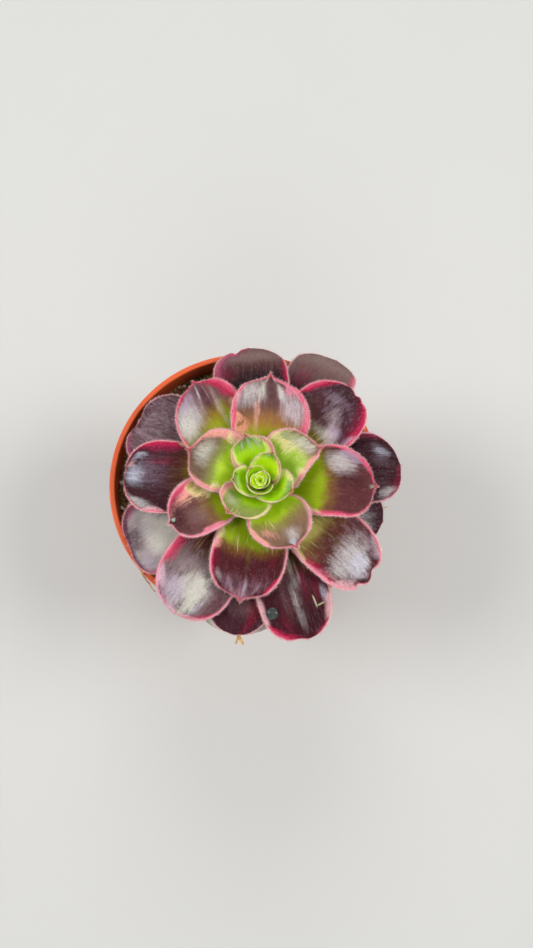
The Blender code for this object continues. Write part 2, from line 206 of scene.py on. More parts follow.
# The leaves' colours
LIME = colour(184, 230, 6)
LEAF_GREEN = colour(148, 172, 0)
MOSS = colour(146, 150, 24)
OLIVE = colour(140, 112, 14)
GREY_GREEN = colour(140, 166, 76)
BROWN = colour(130, 84, 48)
UMBER = colour(94, 48, 30)
DOVE = colour(116, 84, 84)
MAUVE = colour(94, 48, 54)
PLUM = colour(62, 22, 36)
MAROON = colour(66, 8, 18)
INK = colour(34, 2, 10)
WINE = colour(112, 6, 40)
CRIMSON = colour(190, 16, 70)
ROSE = colour(226, 72, 110)
PINK = colour(240, 134, 156)
BLUSH = colour(238, 178, 182)
SALMON = colour(248, 168, 152)
CREAM = colour(236, 216, 158)
BUTTER = colour(248, 246, 158)
# The next three tones are painted sheen: pale highlights and reflections of the light, laid into the leaves'
# colour
SHEEN_SILVER = colour(206, 198, 196)
SHEEN_PEARL = colour(212, 208, 194)
SHEEN_ICE = colour(204, 208, 224)
# LILAC also serves as the painted highlight along the creases and as the tone of some painted sheen marks
LILAC = colour(176, 156, 176)
SCAR = colour(196, 190, 152)
PALE_STREAK = colour(222, 214, 136)
POINT_RED = colour(186, 50, 66)

# Many marks are painted sheen: pale highlights of the light laid into the leaf's colour, in the sheen tones,
# lilac and greys
# A patch on a leaf: its place and half size in s and t, how strong, soft and ragged it is, and how it slants
Mark = namedtuple("Mark", "tone s t width length strength soft ragged slant", defaults=(0.7, 0.8, 0.8, 0.0))
# A band along one margin (1 left, -1 right): its place and reach along the leaf, width in mm, and colours
Band = namedtuple("Band", "side t spread width outer inner strength soft", defaults=(0.95, 0.6))

# How a leaf is coloured. fresh: the green of its foot, brown: what it turns into, dark: its end. end and
# blur: where the green ends, and how softly. streaks: how streaked it is, and the crease shading: how
# strongly its end's creases get painted highlights and painted shade. margin and edge: the coloured margin's
# width in mm and its colour, and fuzz the margin's paler one. tip: how red the point is.
SKIN = dict(
    fresh=LEAF_GREEN, brown=UMBER, dark=MAROON, end=0.46, blur=0.05, streaks=0.3, creased=0.1, margin=1.0,
    edge=ROSE, fuzz=colour(250, 196, 196), tip=0.0, bands=(), marks=(),
)
YOUNG = dict(
    fresh=LIME, brown=colour(160, 214, 20), dark=GREY_GREEN, end=0.66, blur=0.16, streaks=0.5, creased=0.0,
    margin=0.32, edge=CREAM, fuzz=colour(240, 236, 180), tip=1.0,
)
TIP = Mark(colour(170, 60, 60), 0.0, 1.0, 2.0, 0.06, 0.8, 0.4, 0.2)
SKINS = {
    0: dict(YOUNG, fresh=colour(214, 250, 20), brown=LIME, dark=LIME),
    1: dict(YOUNG, fresh=colour(208, 248, 12), brown=LIME, dark=LIME, marks=(TIP,)),
    2: dict(
        YOUNG, brown=LIME, dark=LIME,
        bands=(Band(1, 0.5, 0.3, 1.2, BUTTER, BUTTER, 0.8),),
        marks=(Mark(colour(96, 140, 50), 0.1, 0.9, 0.8, 0.14, 0.8, 0.8, 2.0), TIP),
    ),
    3: dict(
        YOUNG, brown=LIME, dark=colour(176, 214, 40),
        bands=(Band(-1, 0.6, 0.3, 1.4, PINK, BUTTER, 0.8),),
        marks=(Mark(colour(86, 120, 56), 0.2, 0.88, 0.8, 0.16, 0.85, 0.8, 2.0), TIP),
    ),
    4: dict(
        YOUNG, fresh=colour(204, 250, 10), margin=0.4, edge=PINK,
        bands=(Band(1, 0.4, 0.3, 2.4, BUTTER, BUTTER, 0.9), Band(-1, 0.5, 0.35, 2.6, PINK, BUTTER)),
        marks=(
            Mark(colour(82, 110, 62), 0.1, 0.88, 0.8, 0.17, 0.9, 0.8, 2.2),
            Mark(SHEEN_PEARL, 0.3, 0.78, 0.2, 0.16, 0.6, 0.9, 1.6), TIP,
        ),
    ),
    5: dict(
        YOUNG, margin=0.36, edge=BLUSH,
        bands=(Band(1, 0.5, 0.35, 2.4, BUTTER, BUTTER), Band(-1, 0.45, 0.3, 1.6, BUTTER, BUTTER)),
        marks=(
            Mark(colour(80, 108, 60), 0.0, 0.86, 0.8, 0.18, 0.9, 0.8, 2.2),
            Mark(SHEEN_PEARL, 0.1, 0.7, 0.4, 0.14, 0.6, 0.9), TIP,
        ),
    ),
    6: dict(
        YOUNG, margin=0.4, edge=PINK,
        bands=(Band(1, 0.5, 0.35, 3.0, BUTTER, BUTTER), Band(-1, 0.5, 0.3, 1.6, BUTTER, BUTTER)),
        marks=(
            Mark(colour(84, 112, 64), 0.1, 0.88, 0.8, 0.18, 0.9, 0.8, 2.2),
            Mark(SHEEN_PEARL, 0.3, 0.7, 0.4, 0.14, 0.5, 0.9), TIP,
        ),
    ),
    7: dict(
        YOUNG, margin=0.5, edge=PINK, end=0.6, dark=colour(110, 134, 64),
        bands=(Band(1, 0.45, 0.3, 2.4, PINK, BUTTER), Band(-1, 0.6, 0.3, 3.6, PINK, BUTTER)),
        marks=(
            Mark(colour(92, 118, 62), -0.1, 0.82, 0.7, 0.15, 0.85, 0.8, 2.2),
            Mark(colour(84, 98, 66), 0.1, 0.93, 0.8, 0.1, 0.8), Mark(SHEEN_PEARL, 0.0, 0.8, 0.08, 0.18, 0.7, 0.9),
            Mark(SHEEN_PEARL, -0.35, 0.76, 0.1, 0.22, 0.7, 0.9), Mark(SHEEN_PEARL, 0.35, 0.8, 0.06, 0.16, 0.6, 0.9),
            TIP,
        ),
    ),
    8: dict(
        YOUNG, margin=0.6, edge=PINK, end=0.42, brown=colour(150, 178, 60), dark=colour(142, 146, 84),
        bands=(Band(1, 0.6, 0.35, 1.4, BUTTER, BUTTER), Band(-1, 0.5, 0.35, 2.8, PINK, SALMON)),
        marks=(
            Mark(CREAM, 0.15, 0.82, 0.02, 0.12, 0.9, 0.6, 0.3, 1.0),
            Mark(CREAM, 0.3, 0.84, 0.02, 0.1, 0.9, 0.6, 0.3, 1.0),
            Mark(CREAM, 0.0, 0.86, 0.02, 0.08, 0.8, 0.6, 0.3, 1.0), Mark(SHEEN_PEARL, -0.4, 0.62, 0.3, 0.15, 0.6),
            TIP,
        ),
    ),
    9: dict(
        tip=0.8, fresh=colour(166, 204, 52), brown=colour(194, 208, 104), dark=colour(146, 120, 92),
        end=0.58, blur=0.08, margin=0.8, edge=PINK,
        bands=(
            Band(1, 0.6, 0.14, 2.0, SALMON, CREAM), Band(-1, 0.6, 0.22, 1.9, SALMON, SALMON),
            Band(-1, 0.4, 0.14, 3.6, PINK, CREAM),
        ),
        marks=(
            Mark(MAUVE, 0.0, 0.98, 0.9, 0.14), Mark(CREAM, 0.56, 0.62, 0.4, 0.18, 0.95, 0.5, 2.6),
            Mark(colour(120, 142, 96), 0.6, 0.72, 0.26, 0.08, 0.8, 0.4, 2.6),
            Mark(SHEEN_PEARL, 0.26, 0.76, 0.26, 0.13, 1.0), Mark(SHEEN_SILVER, -0.12, 0.78, 0.2, 0.08, 0.8),
            Mark(OLIVE, -0.35, 0.72, 0.24, 0.12, 0.4),
        ),
    ),
    10: dict(
        tip=0.8, fresh=colour(190, 224, 40), brown=colour(140, 150, 60), dark=colour(120, 96, 72), end=0.5,
        blur=0.08, margin=0.8, edge=PINK,
        bands=(
            Band(-1, 0.68, 0.22, 4.2, SALMON, SALMON, 1.0), Band(-1, 0.53, 0.12, 4.8, SALMON, CREAM, 1.0),
            Band(1, 0.6, 0.22, 2.0, PINK, SALMON), Band(1, 0.48, 0.08, 3.6, SALMON, CREAM),
        ),
        marks=(
            Mark(MAUVE, 0.0, 0.98, 0.9, 0.13, 0.7, 0.8, 1.4),
            Mark(UMBER, -0.45, 0.85, 0.25, 0.1, 0.5, 0.6, 1.6), Mark(UMBER, 0.45, 0.76, 0.25, 0.16, 0.4),
            Mark(SHEEN_PEARL, -0.08, 0.76, 0.4, 0.12, 1.0), Mark(MOSS, -0.6, 0.6, 0.1, 0.05, 0.9, 0.4, 1.6),
        ),
    ),
    11: dict(
        tip=0.8, fresh=colour(194, 230, 30), brown=colour(150, 150, 60), dark=colour(130, 98, 76),
        blur=0.09, margin=0.9, edge=PINK,
        bands=(
            Band(-1, 0.7, 0.13, 2.4, SALMON, SALMON), Band(-1, 0.4, 0.2, 1.6, PINK, CREAM),
            Band(1, 0.7, 0.2, 1.6, PINK, BLUSH, 0.7),
        ),
        marks=(
            Mark(colour(138, 98, 76), 0.5, 0.56, 0.5, 0.22, 0.85), Mark(PLUM, 0.0, 0.97, 0.9, 0.11, 0.8),
            Mark(SHEEN_SILVER, 0.12, 0.8, 0.26, 0.12, 0.9, 0.9), Mark(SHEEN_ICE, -0.05, 0.9, 0.16, 0.06, 0.8, 0.7),
            Mark(CREAM, -0.3, 0.5, 0.02, 0.1, 0.7, 0.5, 0.3, 0.4),
            Mark(CREAM, -0.45, 0.48, 0.015, 0.06, 0.6, 0.5, 0.3),
            Mark(SALMON, -0.52, 0.68, 0.14, 0.08, 0.7, 0.8, 2.6),
        ),
    ),
    12: dict(
        tip=0.6, fresh=colour(160, 164, 20), brown=colour(166, 112, 52), dark=colour(108, 70, 68), end=0.44,
        blur=0.09, margin=1.2,
        bands=(
            Band(-1, 0.86, 0.09, 3.2, PINK, PINK, 0.9), Band(-1, 0.6, 0.24, 3.0, PINK, ROSE),
            Band(1, 0.5, 0.14, 4.8, SALMON, colour(240, 164, 136), 0.9, 0.5),
            Band(1, 0.68, 0.2, 2.2, PINK, ROSE),
        ),
        marks=(
            Mark(colour(240, 176, 156), 0.36, 0.6, 0.06, 0.2, 0.85, 0.8, 1.6),
            Mark(colour(240, 156, 136), 0.6, 0.48, 0.08, 0.08, 0.8, 0.7, 1.4),
            Mark(PINK, -0.22, 0.67, 0.03, 0.08, 0.4, 0.8, 0.3),
            Mark(colour(136, 94, 34), 0.82, 0.5, 0.06, 0.035, 0.95, 0.3, 3.2),
            Mark(colour(136, 94, 34), 0.64, 0.56, 0.09, 0.07, 0.95, 0.3, 3.2),
            # Painted sheen: pale bands on both sides and a bright spot, in silver, pearl and lavender grey
            Mark(SHEEN_SILVER, 0.58, 0.8, 0.4, 0.13, 1.0, 0.7), Mark(SHEEN_PEARL, 0.25, 0.84, 0.1, 0.12, 0.9, 0.7),
            Mark(colour(204, 186, 190), -0.56, 0.68, 0.32, 0.16, 1.0, 0.6),
            Mark(SHEEN_SILVER, -0.26, 0.82, 0.1, 0.1, 1.0, 0.6),
            Mark(colour(86, 50, 52), 0.02, 0.86, 0.14, 0.2, 0.9, 0.6),
            Mark(PLUM, -0.1, 0.96, 0.1, 0.05, 0.7, 0.5),
            Mark(colour(240, 140, 164), -0.54, 0.85, 0.14, 0.06, 0.85, 0.5, 1.6),
        ),
    ),
    13: dict(
        fresh=colour(156, 176, 0), brown=colour(140, 98, 56), dark=colour(108, 66, 62), blur=0.08,
        margin=1.1, edge=PINK,
        bands=(
            Band(-1, 0.66, 0.26, 7.2, PINK, SALMON, 0.95, 1.0),
            Band(-1, 0.54, 0.16, 8.0, SALMON, CREAM, 0.95, 1.0),
            Band(-1, 0.82, 0.12, 3.4, ROSE, colour(206, 50, 90), 0.95, 0.9),
            Band(1, 0.6, 0.14, 2.4, PINK, PINK, 0.95, 0.4),
        ),
        marks=(
            Mark(MOSS, -0.72, 0.64, 0.12, 0.05, 0.9, 0.6, 1.6),
            Mark(MOSS, -0.56, 0.58, 0.12, 0.06, 0.9, 0.6, 1.6),
            Mark(colour(64, 18, 28), -0.1, 0.92, 0.8, 0.14, 0.95, 0.55),
            Mark(SHEEN_SILVER, 0.25, 0.66, 0.3, 0.12, 0.1, 0.7),
            Mark(CREAM, -0.36, 0.7, 0.02, 0.08, 0.6, 0.8, 0.3),
            Mark(CREAM, -0.28, 0.72, 0.015, 0.06, 0.5, 0.8, 0.3),
            Mark(INK, -0.02, 0.955, 0.12, 0.03, 0.8, 0.6, 1.4),
            Mark(colour(176, 204, 188), -0.07, 0.935, 0.08, 0.028, 0.95, 0.4, 1.8, -1.4),
        ),
    ),
    14: dict(
        tip=0.8, brown=colour(128, 92, 30), dark=colour(98, 48, 50), end=0.5, blur=0.06, margin=1.1,
        bands=(
            Band(1, 0.84, 0.13, 2.8, ROSE, ROSE), Band(-1, 0.6, 0.2, 1.8, PINK, ROSE),
            Band(-1, 0.42, 0.1, 1.8, BLUSH, CREAM),
        ),
        marks=(
            Mark(INK, 0.05, 0.75, 0.22, 0.18, 0.55, 0.7), Mark(SHEEN_SILVER, 0.5, 0.68, 0.32, 0.13, 1.0, 0.6),
            Mark(LILAC, 0.75, 0.8, 0.22, 0.1, 0.8, 0.5, 1.4),
            Mark(SHEEN_PEARL, -0.04, 0.955, 0.1, 0.03, 0.7, 0.9, 1.6),
            Mark(BROWN, -0.25, 0.58, 0.02, 0.1, 0.6, 0.8, 0.5),
            Mark(BROWN, -0.38, 0.6, 0.02, 0.1, 0.6, 0.8, 0.5), Mark(MAROON, -0.35, 0.8, 0.4, 0.16, 0.4),
        ),
    ),
    15: dict(
        tip=0.8, fresh=colour(156, 164, 20), brown=OLIVE, dark=colour(112, 68, 72), end=0.58, blur=0.07,
        margin=1.2,
        bands=(
            Band(-1, 0.64, 0.09, 4.0, PINK, SALMON, 0.85, 1.2),
            Band(-1, 0.82, 0.14, 4.6, ROSE, CRIMSON, 0.95, 1.1), Band(1, 0.92, 0.04, 2.2, CRIMSON, CRIMSON),
        ),
        marks=(
            # Painted sheen: the silver, pearl, lilac and ice marks, and the grey-green streak on the right
            # side
            Mark(SHEEN_SILVER, 0.58, 0.73, 0.4, 0.16, 1.0, 0.6), Mark(SHEEN_PEARL, 0.7, 0.68, 0.2, 0.09, 0.8, 0.6),
            Mark(LILAC, 0.5, 0.87, 0.26, 0.07, 0.8, 0.6), Mark(SHEEN_ICE, 0.1, 0.88, 0.035, 0.08, 0.9, 0.7, 0.3),
            Mark(SHEEN_PEARL, -0.28, 0.66, 0.07, 0.2, 0.5, 0.9, 0.7, -0.4),
            Mark(GREY_GREEN, -0.4, 0.6, 0.08, 0.18, 0.3, 0.8, 0.5),
            Mark(PLUM, -0.08, 0.8, 0.14, 0.12, 0.7, 0.5),
            Mark(SHEEN_SILVER, -0.16, 0.84, 0.025, 0.1, 0.4, 0.9, 0.4),
        ),
    ),
    16: dict(
        tip=0.8, fresh=colour(150, 174, 14), brown=colour(118, 78, 26), dark=colour(76, 16, 24), end=0.5,
        edge=PINK, streaks=0.5,
        bands=(
            Band(-1, 0.7, 0.16, 3.0, CRIMSON, WINE, 0.9, 1.6),
            Band(-1, 0.56, 0.06, 2.6, BLUSH, SALMON, 0.9, 1.0), Band(-1, 0.47, 0.06, 2.6, CREAM, CREAM),
            Band(1, 0.85, 0.07, 2.0, ROSE, CRIMSON, 0.9), Band(1, 0.46, 0.06, 1.8, BLUSH, CREAM),
        ),
        marks=(
            Mark(WINE, 0.62, 0.64, 0.14, 0.05, 0.7, 0.8, 2.0),
            Mark(SHEEN_ICE, 0.06, 0.89, 0.05, 0.08, 0.8, 0.9, 0.6),
            Mark(LILAC, -0.42, 0.87, 0.08, 0.06, 0.6, 0.9), Mark(SHEEN_SILVER, -0.72, 0.83, 0.1, 0.05, 0.5),
            Mark(LILAC, 0.45, 0.88, 0.06, 0.05, 0.5, 0.9),
            # Painted sheen near the tip, in pinkish mauves
            Mark(colour(196, 140, 158), -0.1, 0.95, 0.5, 0.05, 0.7, 0.9, 1.6),
            Mark(colour(164, 124, 140), -0.05, 0.87, 0.7, 0.09, 0.6, 0.9, 1.6),
            Mark(INK, 0.25, 0.9, 0.12, 0.05, 0.6, 0.5), Mark(INK, -0.22, 0.86, 0.1, 0.07, 0.6, 0.5),
            Mark(CREAM, -0.36, 0.47, 0.015, 0.09, 0.7, 0.6, 0.3, 0.6),
            Mark(CREAM, -0.12, 0.42, 0.012, 0.05, 0.6, 0.6, 0.3),
            Mark(CREAM, 0.46, 0.48, 0.035, 0.05, 0.5, 0.8, 0.4),
            Mark(CREAM, 0.6, 0.5, 0.03, 0.06, 0.5, 0.8, 0.4),
        ),
    ),
    17: dict(
        fresh=colour(126, 112, 14), dark=colour(70, 30, 42), end=0.5, blur=0.06, margin=0.8, creased=0.25,
        bands=(
            Band(1, 0.84, 0.1, 3.2, ROSE, CRIMSON, 0.95, 0.8),
            Band(-1, 0.8, 0.16, 5.0, CRIMSON, WINE, 0.95, 1.2),
            Band(-1, 0.64, 0.1, 2.4, ROSE, LILAC, 0.9, 0.8),
        ),
        marks=(
            Mark(UMBER, 0.6, 0.66, 0.3, 0.12, 0.6), Mark(INK, 0.25, 0.92, 0.5, 0.06),
            # Painted sheen: a slanting grey band, lavender-pink below it, and pearl and lilac marks
            Mark(colour(176, 160, 164), -0.26, 0.66, 0.24, 0.17, 0.85, 0.8, 1.2, 2.2),
            Mark(colour(196, 170, 190), -0.48, 0.6, 0.2, 0.07, 0.9, 0.7),
            Mark(SHEEN_PEARL, -0.3, 0.54, 0.4, 0.05), Mark(LILAC, 0.15, 0.84, 0.4, 0.04, 0.4, 0.9, 1.6),
            Mark(CREAM, -0.12, 0.5, 0.01, 0.06, 0.8, 0.4, 0.1, -0.6),
            Mark(CREAM, -0.3, 0.49, 0.01, 0.06, 0.8, 0.4, 0.1, -0.6),
            Mark(CREAM, -0.45, 0.5, 0.01, 0.05, 0.8, 0.4, 0.1, -0.4),
        ),
    ),
    18: dict(
        fresh=colour(136, 112, 16), dark=colour(60, 16, 28), end=0.5, blur=0.07, margin=0.7,
        bands=(
            Band(-1, 0.73, 0.16, 4.4, CRIMSON, colour(130, 16, 56), 0.95, 1.0),
            Band(-1, 0.58, 0.05, 1.6, PINK, CREAM), Band(1, 0.78, 0.07, 2.2, PINK, BLUSH, 0.85, 0.5),
        ),
        marks=(
            Mark(WINE, -0.4, 0.7, 0.14, 0.12), Mark(CRIMSON, -0.36, 0.74, 0.05, 0.07, 0.3, 0.9),
            # Painted sheen at the end, in ice, lilac and silver
            Mark(SHEEN_ICE, 0.02, 0.92, 0.34, 0.08, 0.9), Mark(LILAC, -0.1, 0.8, 0.4, 0.12, 0.35, 0.9, 1.2),
            Mark(SHEEN_ICE, -0.6, 0.91, 0.12, 0.05, 0.8, 0.9, 1.4),
            Mark(BLUSH, -0.42, 0.955, 0.12, 0.04, 0.7, 0.8, 1.2),
            Mark(SHEEN_SILVER, 0.82, 0.88, 0.14, 0.09, 0.85, 0.6), Mark(INK, 0.35, 0.85, 0.16, 0.1, 0.5, 0.6),
        ),
    ),
    19: dict(
        fresh=colour(200, 192, 98), brown=colour(134, 86, 54), dark=colour(84, 26, 32), blur=0.08,
        edge=PINK, streaks=1.7, creased=0.35,
        bands=(
            Band(-1, 0.7, 0.16, 2.8, PINK, CRIMSON, 0.85, 1.3),
            Band(-1, 0.88, 0.06, 3.6, BLUSH, BLUSH, 0.8, 1.0), Band(-1, 0.5, 0.08, 1.8, BLUSH, CREAM),
            Band(1, 0.88, 0.06, 3.6, BLUSH, LILAC, 0.7, 0.8), Band(1, 0.75, 0.2, 1.0, CRIMSON, WINE),
        ),
        marks=(
            Mark(MAROON, 0.0, 0.57, 0.6, 0.08, 0.8, 0.6), Mark(DOVE, 0.6, 0.74, 0.4, 0.12, 0.6),
            # Painted sheen over the outer half, brightest and bluish near the end
            Mark(SHEEN_SILVER, -0.08, 0.8, 0.66, 0.14, 1.0, 0.6),
            Mark(colour(206, 202, 214), -0.05, 0.87, 0.4, 0.08, 1.0, 0.6),
            # The ink mark at the right notch is painted shade in its fold
            Mark(PLUM, 0.42, 0.88, 0.07, 0.05, 0.8, 0.6), Mark(INK, -0.45, 0.96, 0.14, 0.025, 0.85, 0.5),
        ),
    ),
    20: dict(
        fresh=INK, brown=colour(70, 30, 34), dark=colour(114, 84, 80), end=0.76, blur=0.06, margin=0.4,
        edge=colour(196, 116, 130), streaks=0.1,
        bands=(
            Band(1, 0.86, 0.16, 4.4, colour(190, 84, 112), colour(140, 50, 84), 0.9, 1.6),
            Band(-1, 0.78, 0.1, 2.4, CRIMSON, WINE, 0.95, 0.9),
        ),
        marks=(
            Mark(WINE, 0.7, 0.76, 0.3, 0.07, 0.8),
            Mark(colour(138, 112, 106), -0.1, 0.9, 0.6, 0.05, 0.6, 0.7),
        ),
    ),
    21: dict(
        # The pale grey end colour is a painted sheen, and so are the grey, pearl, lavender and ice marks
        fresh=UMBER, brown=colour(84, 40, 40), dark=colour(128, 106, 108), end=0.5, blur=0.07, margin=0.9,
        edge=PINK, streaks=0.4, creased=0.3,
        bands=(
            Band(-1, 0.9, 0.1, 4.2, colour(240, 176, 200), colour(214, 178, 190), 0.95, 1.2),
            Band(-1, 0.66, 0.13, 3.8, ROSE, CRIMSON, 0.95, 1.6),
            Band(1, 0.93, 0.05, 2.2, ROSE, CRIMSON, 0.9, 0.8),
            Band(1, 0.98, 0.03, 2.4, BLUSH, BLUSH, 0.6, 0.8),
        ),
        marks=(
            Mark(MAROON, -0.1, 0.55, 0.5, 0.08, 0.6),
            Mark(colour(150, 132, 132), 0.0, 0.74, 0.46, 0.16, 1.0, 0.7, 1.2),
            Mark(SHEEN_PEARL, 0.1, 0.81, 0.42, 0.13, 0.9, 0.6, 1.2), Mark(SHEEN_PEARL, 0.2, 0.84, 0.2, 0.15, 1.0, 0.5),
            Mark(colour(206, 190, 206), -0.35, 0.87, 0.3, 0.09, 0.9, 0.7),
            Mark(SHEEN_ICE, 0.48, 0.91, 0.07, 0.08, 0.5, 0.9), Mark(MAUVE, 0.78, 0.8, 0.22, 0.15, 0.95, 0.5),
            Mark(colour(52, 24, 36), -0.72, 0.95, 0.26, 0.035, 0.9),
        ),
    ),
    22: dict(
        fresh=INK, brown=INK, dark=colour(52, 8, 20), end=0.3, margin=0.5, edge=colour(206, 122, 144),
        bands=(
            Band(1, 0.78, 0.12, 2.6, colour(150, 54, 84), WINE, 0.9, 0.8),
            Band(-1, 0.94, 0.07, 4.0, WINE, WINE, 0.9, 1.0),
        ),
        marks=(
            # Painted sheen: ice, lilac, silver and dove-grey highlights on the near-black leaf
            Mark(SHEEN_ICE, 0.46, 0.87, 0.14, 0.06, 0.6, 0.9, 1.4),
            Mark(LILAC, 0.2, 0.84, 0.14, 0.06, 0.25, 0.9, 1.2),
            Mark(SHEEN_SILVER, -0.8, 0.87, 0.15, 0.06, 0.85, 0.8, 1.2), Mark(DOVE, -0.5, 0.84, 0.14, 0.06, 0.3),
        ),
    ),
    23: dict(
        fresh=INK, brown=colour(84, 40, 48), dark=colour(96, 64, 70), end=0.4, margin=0.5,
        edge=colour(186, 118, 132), creased=0.6,
        bands=(Band(1, 0.84, 0.14, 3.0, colour(170, 76, 104), colour(134, 56, 84), 0.9, 1.2),),
        marks=(
            Mark(WINE, -0.5, 0.64, 0.3, 0.08, 0.5),
            # Painted sheen in greys over the wrinkled end
            Mark(colour(160, 140, 144), 0.25, 0.74, 0.5, 0.12, 0.7, 0.9, 1.6),
            Mark(colour(150, 128, 132), -0.3, 0.84, 0.4, 0.1, 0.6, 0.9, 1.6),
            Mark(colour(166, 140, 142), 0.1, 0.92, 0.4, 0.05, 0.5, 0.9, 1.6),
        ),
    ),
    24: dict(
        fresh=colour(88, 56, 14), brown=colour(92, 32, 36), dark=colour(66, 10, 24), end=0.5, margin=0.6,
        edge=BLUSH, streaks=0.5,
        bands=(
            Band(-1, 0.78, 0.1, 1.9, BLUSH, BLUSH), Band(-1, 0.93, 0.05, 3.0, ROSE, CRIMSON, 0.95, 1.0),
            Band(1, 0.84, 0.08, 2.4, BLUSH, BLUSH, 0.85, 0.9), Band(1, 0.72, 0.06, 1.4, CRIMSON, WINE),
            Band(1, 0.95, 0.03, 2.0, ROSE, WINE),
        ),
        marks=(
            Mark(INK, 0.25, 0.87, 0.5, 0.09), Mark(WINE, 0.34, 0.61, 0.1, 0.12, 0.9, 0.7),
            Mark(WINE, 0.68, 0.71, 0.14, 0.08, 0.8, 0.7), Mark(WINE, -0.42, 0.88, 0.14, 0.08, 0.7, 0.7),
            Mark(colour(130, 96, 96), -0.1, 0.6, 0.5, 0.16, 0.2, 0.9, 1.2),
            Mark(SHEEN_SILVER, 0.12, 0.54, 0.08, 0.18, 0.6, 0.9, 1.0),
            Mark(SHEEN_SILVER, 0.27, 0.56, 0.04, 0.08, 0.4, 0.9, 1.0),
            Mark(SHEEN_SILVER, 0.0, 0.72, 0.07, 0.11, 0.6, 0.9, 1.4),
            Mark(SHEEN_SILVER, 0.08, 0.88, 0.1, 0.07, 0.3, 0.9, 1.4), Mark(DOVE, -0.25, 0.7, 0.1, 0.16, 0.5, 0.9),
            Mark(SHEEN_ICE, 0.8, 0.76, 0.09, 0.05, 0.8, 0.9),
            Mark(SCAR, 0.51, 0.785, 0.022, 0.045, 1.0, 0.3, 0.12, 0.6),
            Mark(SCAR, 0.66, 0.818, 0.12, 0.006, 0.8, 0.3, 0.04),
        ),
    ),
    25: dict(
        fresh=INK, brown=colour(72, 34, 38), dark=colour(118, 88, 84), end=0.68, blur=0.07, margin=0.35,
        edge=colour(196, 140, 140), streaks=0.1,
        bands=(
            Band(1, 0.7, 0.12, 2.4, colour(150, 90, 96), DOVE, 0.7, 1.0),
            Band(-1, 0.9, 0.05, 2.4, PINK, ROSE, 0.7, 0.8),
        ),
        marks=(
            Mark(colour(124, 30, 60), 0.54, 0.73, 0.28, 0.09, 0.7, 0.9),
            Mark(colour(146, 122, 114), 0.0, 0.95, 0.9, 0.06, 0.6, 0.7),
        ),
    ),
    26: dict(
        # The pale grey end colour is a painted sheen over most of the leaf, with the grey-white and pearl
        # marks
        fresh=DOVE, brown=DOVE, dark=colour(164, 150, 148), end=0.3, margin=0.6, edge=colour(206, 100, 130),
        streaks=0.2, creased=0.25,
        bands=(
            Band(-1, 0.86, 0.13, 3.6, CRIMSON, colour(150, 50, 90), 0.95, 1.2),
            Band(1, 0.86, 0.1, 2.0, colour(190, 82, 116), colour(160, 100, 120), 0.9, 1.0),
            Band(-1, 0.98, 0.06, 4.2, colour(84, 36, 60), colour(66, 30, 50), 0.95, 1.4),
            Band(1, 0.98, 0.04, 3.6, colour(84, 36, 60), colour(90, 56, 72), 0.9, 1.4),
        ),
        marks=(
            Mark(colour(190, 178, 176), 0.06, 0.73, 0.82, 0.13, 1.0, 0.4),
            Mark(SHEEN_PEARL, 0.2, 0.68, 0.7, 0.15, 1.0, 0.5),
            Mark(colour(66, 30, 50), -0.1, 0.93, 0.42, 0.08, 0.95, 0.6, 1.2),
            Mark(MAUVE, -0.84, 0.84, 0.12, 0.14, 0.7, 0.7, 1.0), Mark(LILAC, 0.6, 0.88, 0.3, 0.07, 0.5),
        ),
    ),
    27: dict(
        fresh=INK, brown=INK, dark=colour(60, 12, 26), end=0.3, margin=0.4, edge=colour(176, 80, 104),
        marks=(
            # Painted sheen in silver and lilac
            Mark(SHEEN_SILVER, -0.35, 0.82, 0.45, 0.1, 0.9, 0.8, 1.2),
            Mark(LILAC, 0.3, 0.76, 0.4, 0.1, 0.5, 0.9, 1.2),
        ),
    ),
    29: dict(
        fresh=INK, brown=PLUM, dark=colour(66, 24, 36), end=0.3, margin=0.4, edge=colour(180, 110, 130),
        bands=(Band(1, 0.86, 0.14, 2.0, PLUM, PLUM, 0.6, 0.8),),
        marks=(
            Mark(colour(116, 0, 36), 0.5, 0.86, 0.2, 0.14, 0.95, 0.5),
            # A painted sheen in dove grey
            Mark(DOVE, 0.0, 0.82, 0.5, 0.06, 0.6, 0.7),
        ),
    ),
    37: dict(
        fresh=colour(234, 236, 196), brown=colour(244, 244, 216), dark=colour(240, 246, 226), end=0.5,
        blur=0.2, margin=0.4, edge=colour(226, 206, 186), streaks=0.0,
    ),
}

# The roots that reach over the rim, as points. fork is a pair: a point, and the one that it grows from.
Root = namedtuple("Root", "name radius fork points")
ROOTS = [
    Root("root_left", 0.36, None, [
        (-29.5, -28.0, 84.4), (-33.4, -31.6, 90.0), (-36.0, -34.2, 92.9), (-38.0, -36.0, 93.0),
        (-37.0, -38.0, 92.0), (-35.7, -39.7, 91.0), (-34.8, -41.3, 90.3), (-33.5, -42.6, 89.6),
    ]),
    Root("root_right", 0.3, None, [
        (43.5, -12.6, 84.4), (47.0, -12.6, 90.6), (49.2, -12.3, 93.0), (52.2, -11.6, 93.0),
        (54.5, -10.7, 92.4),
    ]),
    Root("root_front", 0.72, (6, 4), [
        (-0.6, -43.6, 84.6), (-1.0, -47.4, 90.6), (-1.3, -50.0, 93.1), (-1.6, -54.6, 92.8),
        (-1.9, -58.6, 92.1), (-2.8, -61.6, 91.0), (-0.3, -61.9, 91.0),
    ]),
]


# Settings


def colour_setting(name, description, default):
    return bpy.props.FloatVectorProperty(
        name=name, description=description, subtype="COLOR", size=4, min=0, max=1, default=default,
    )


def length_setting(name, description, millimetres):
    return bpy.props.FloatProperty(
        name=name, description=description, unit="LENGTH", default=millimetres * MM,
    )


def count_setting(name, description, default):
    return bpy.props.IntProperty(name=name, description=description, default=default)


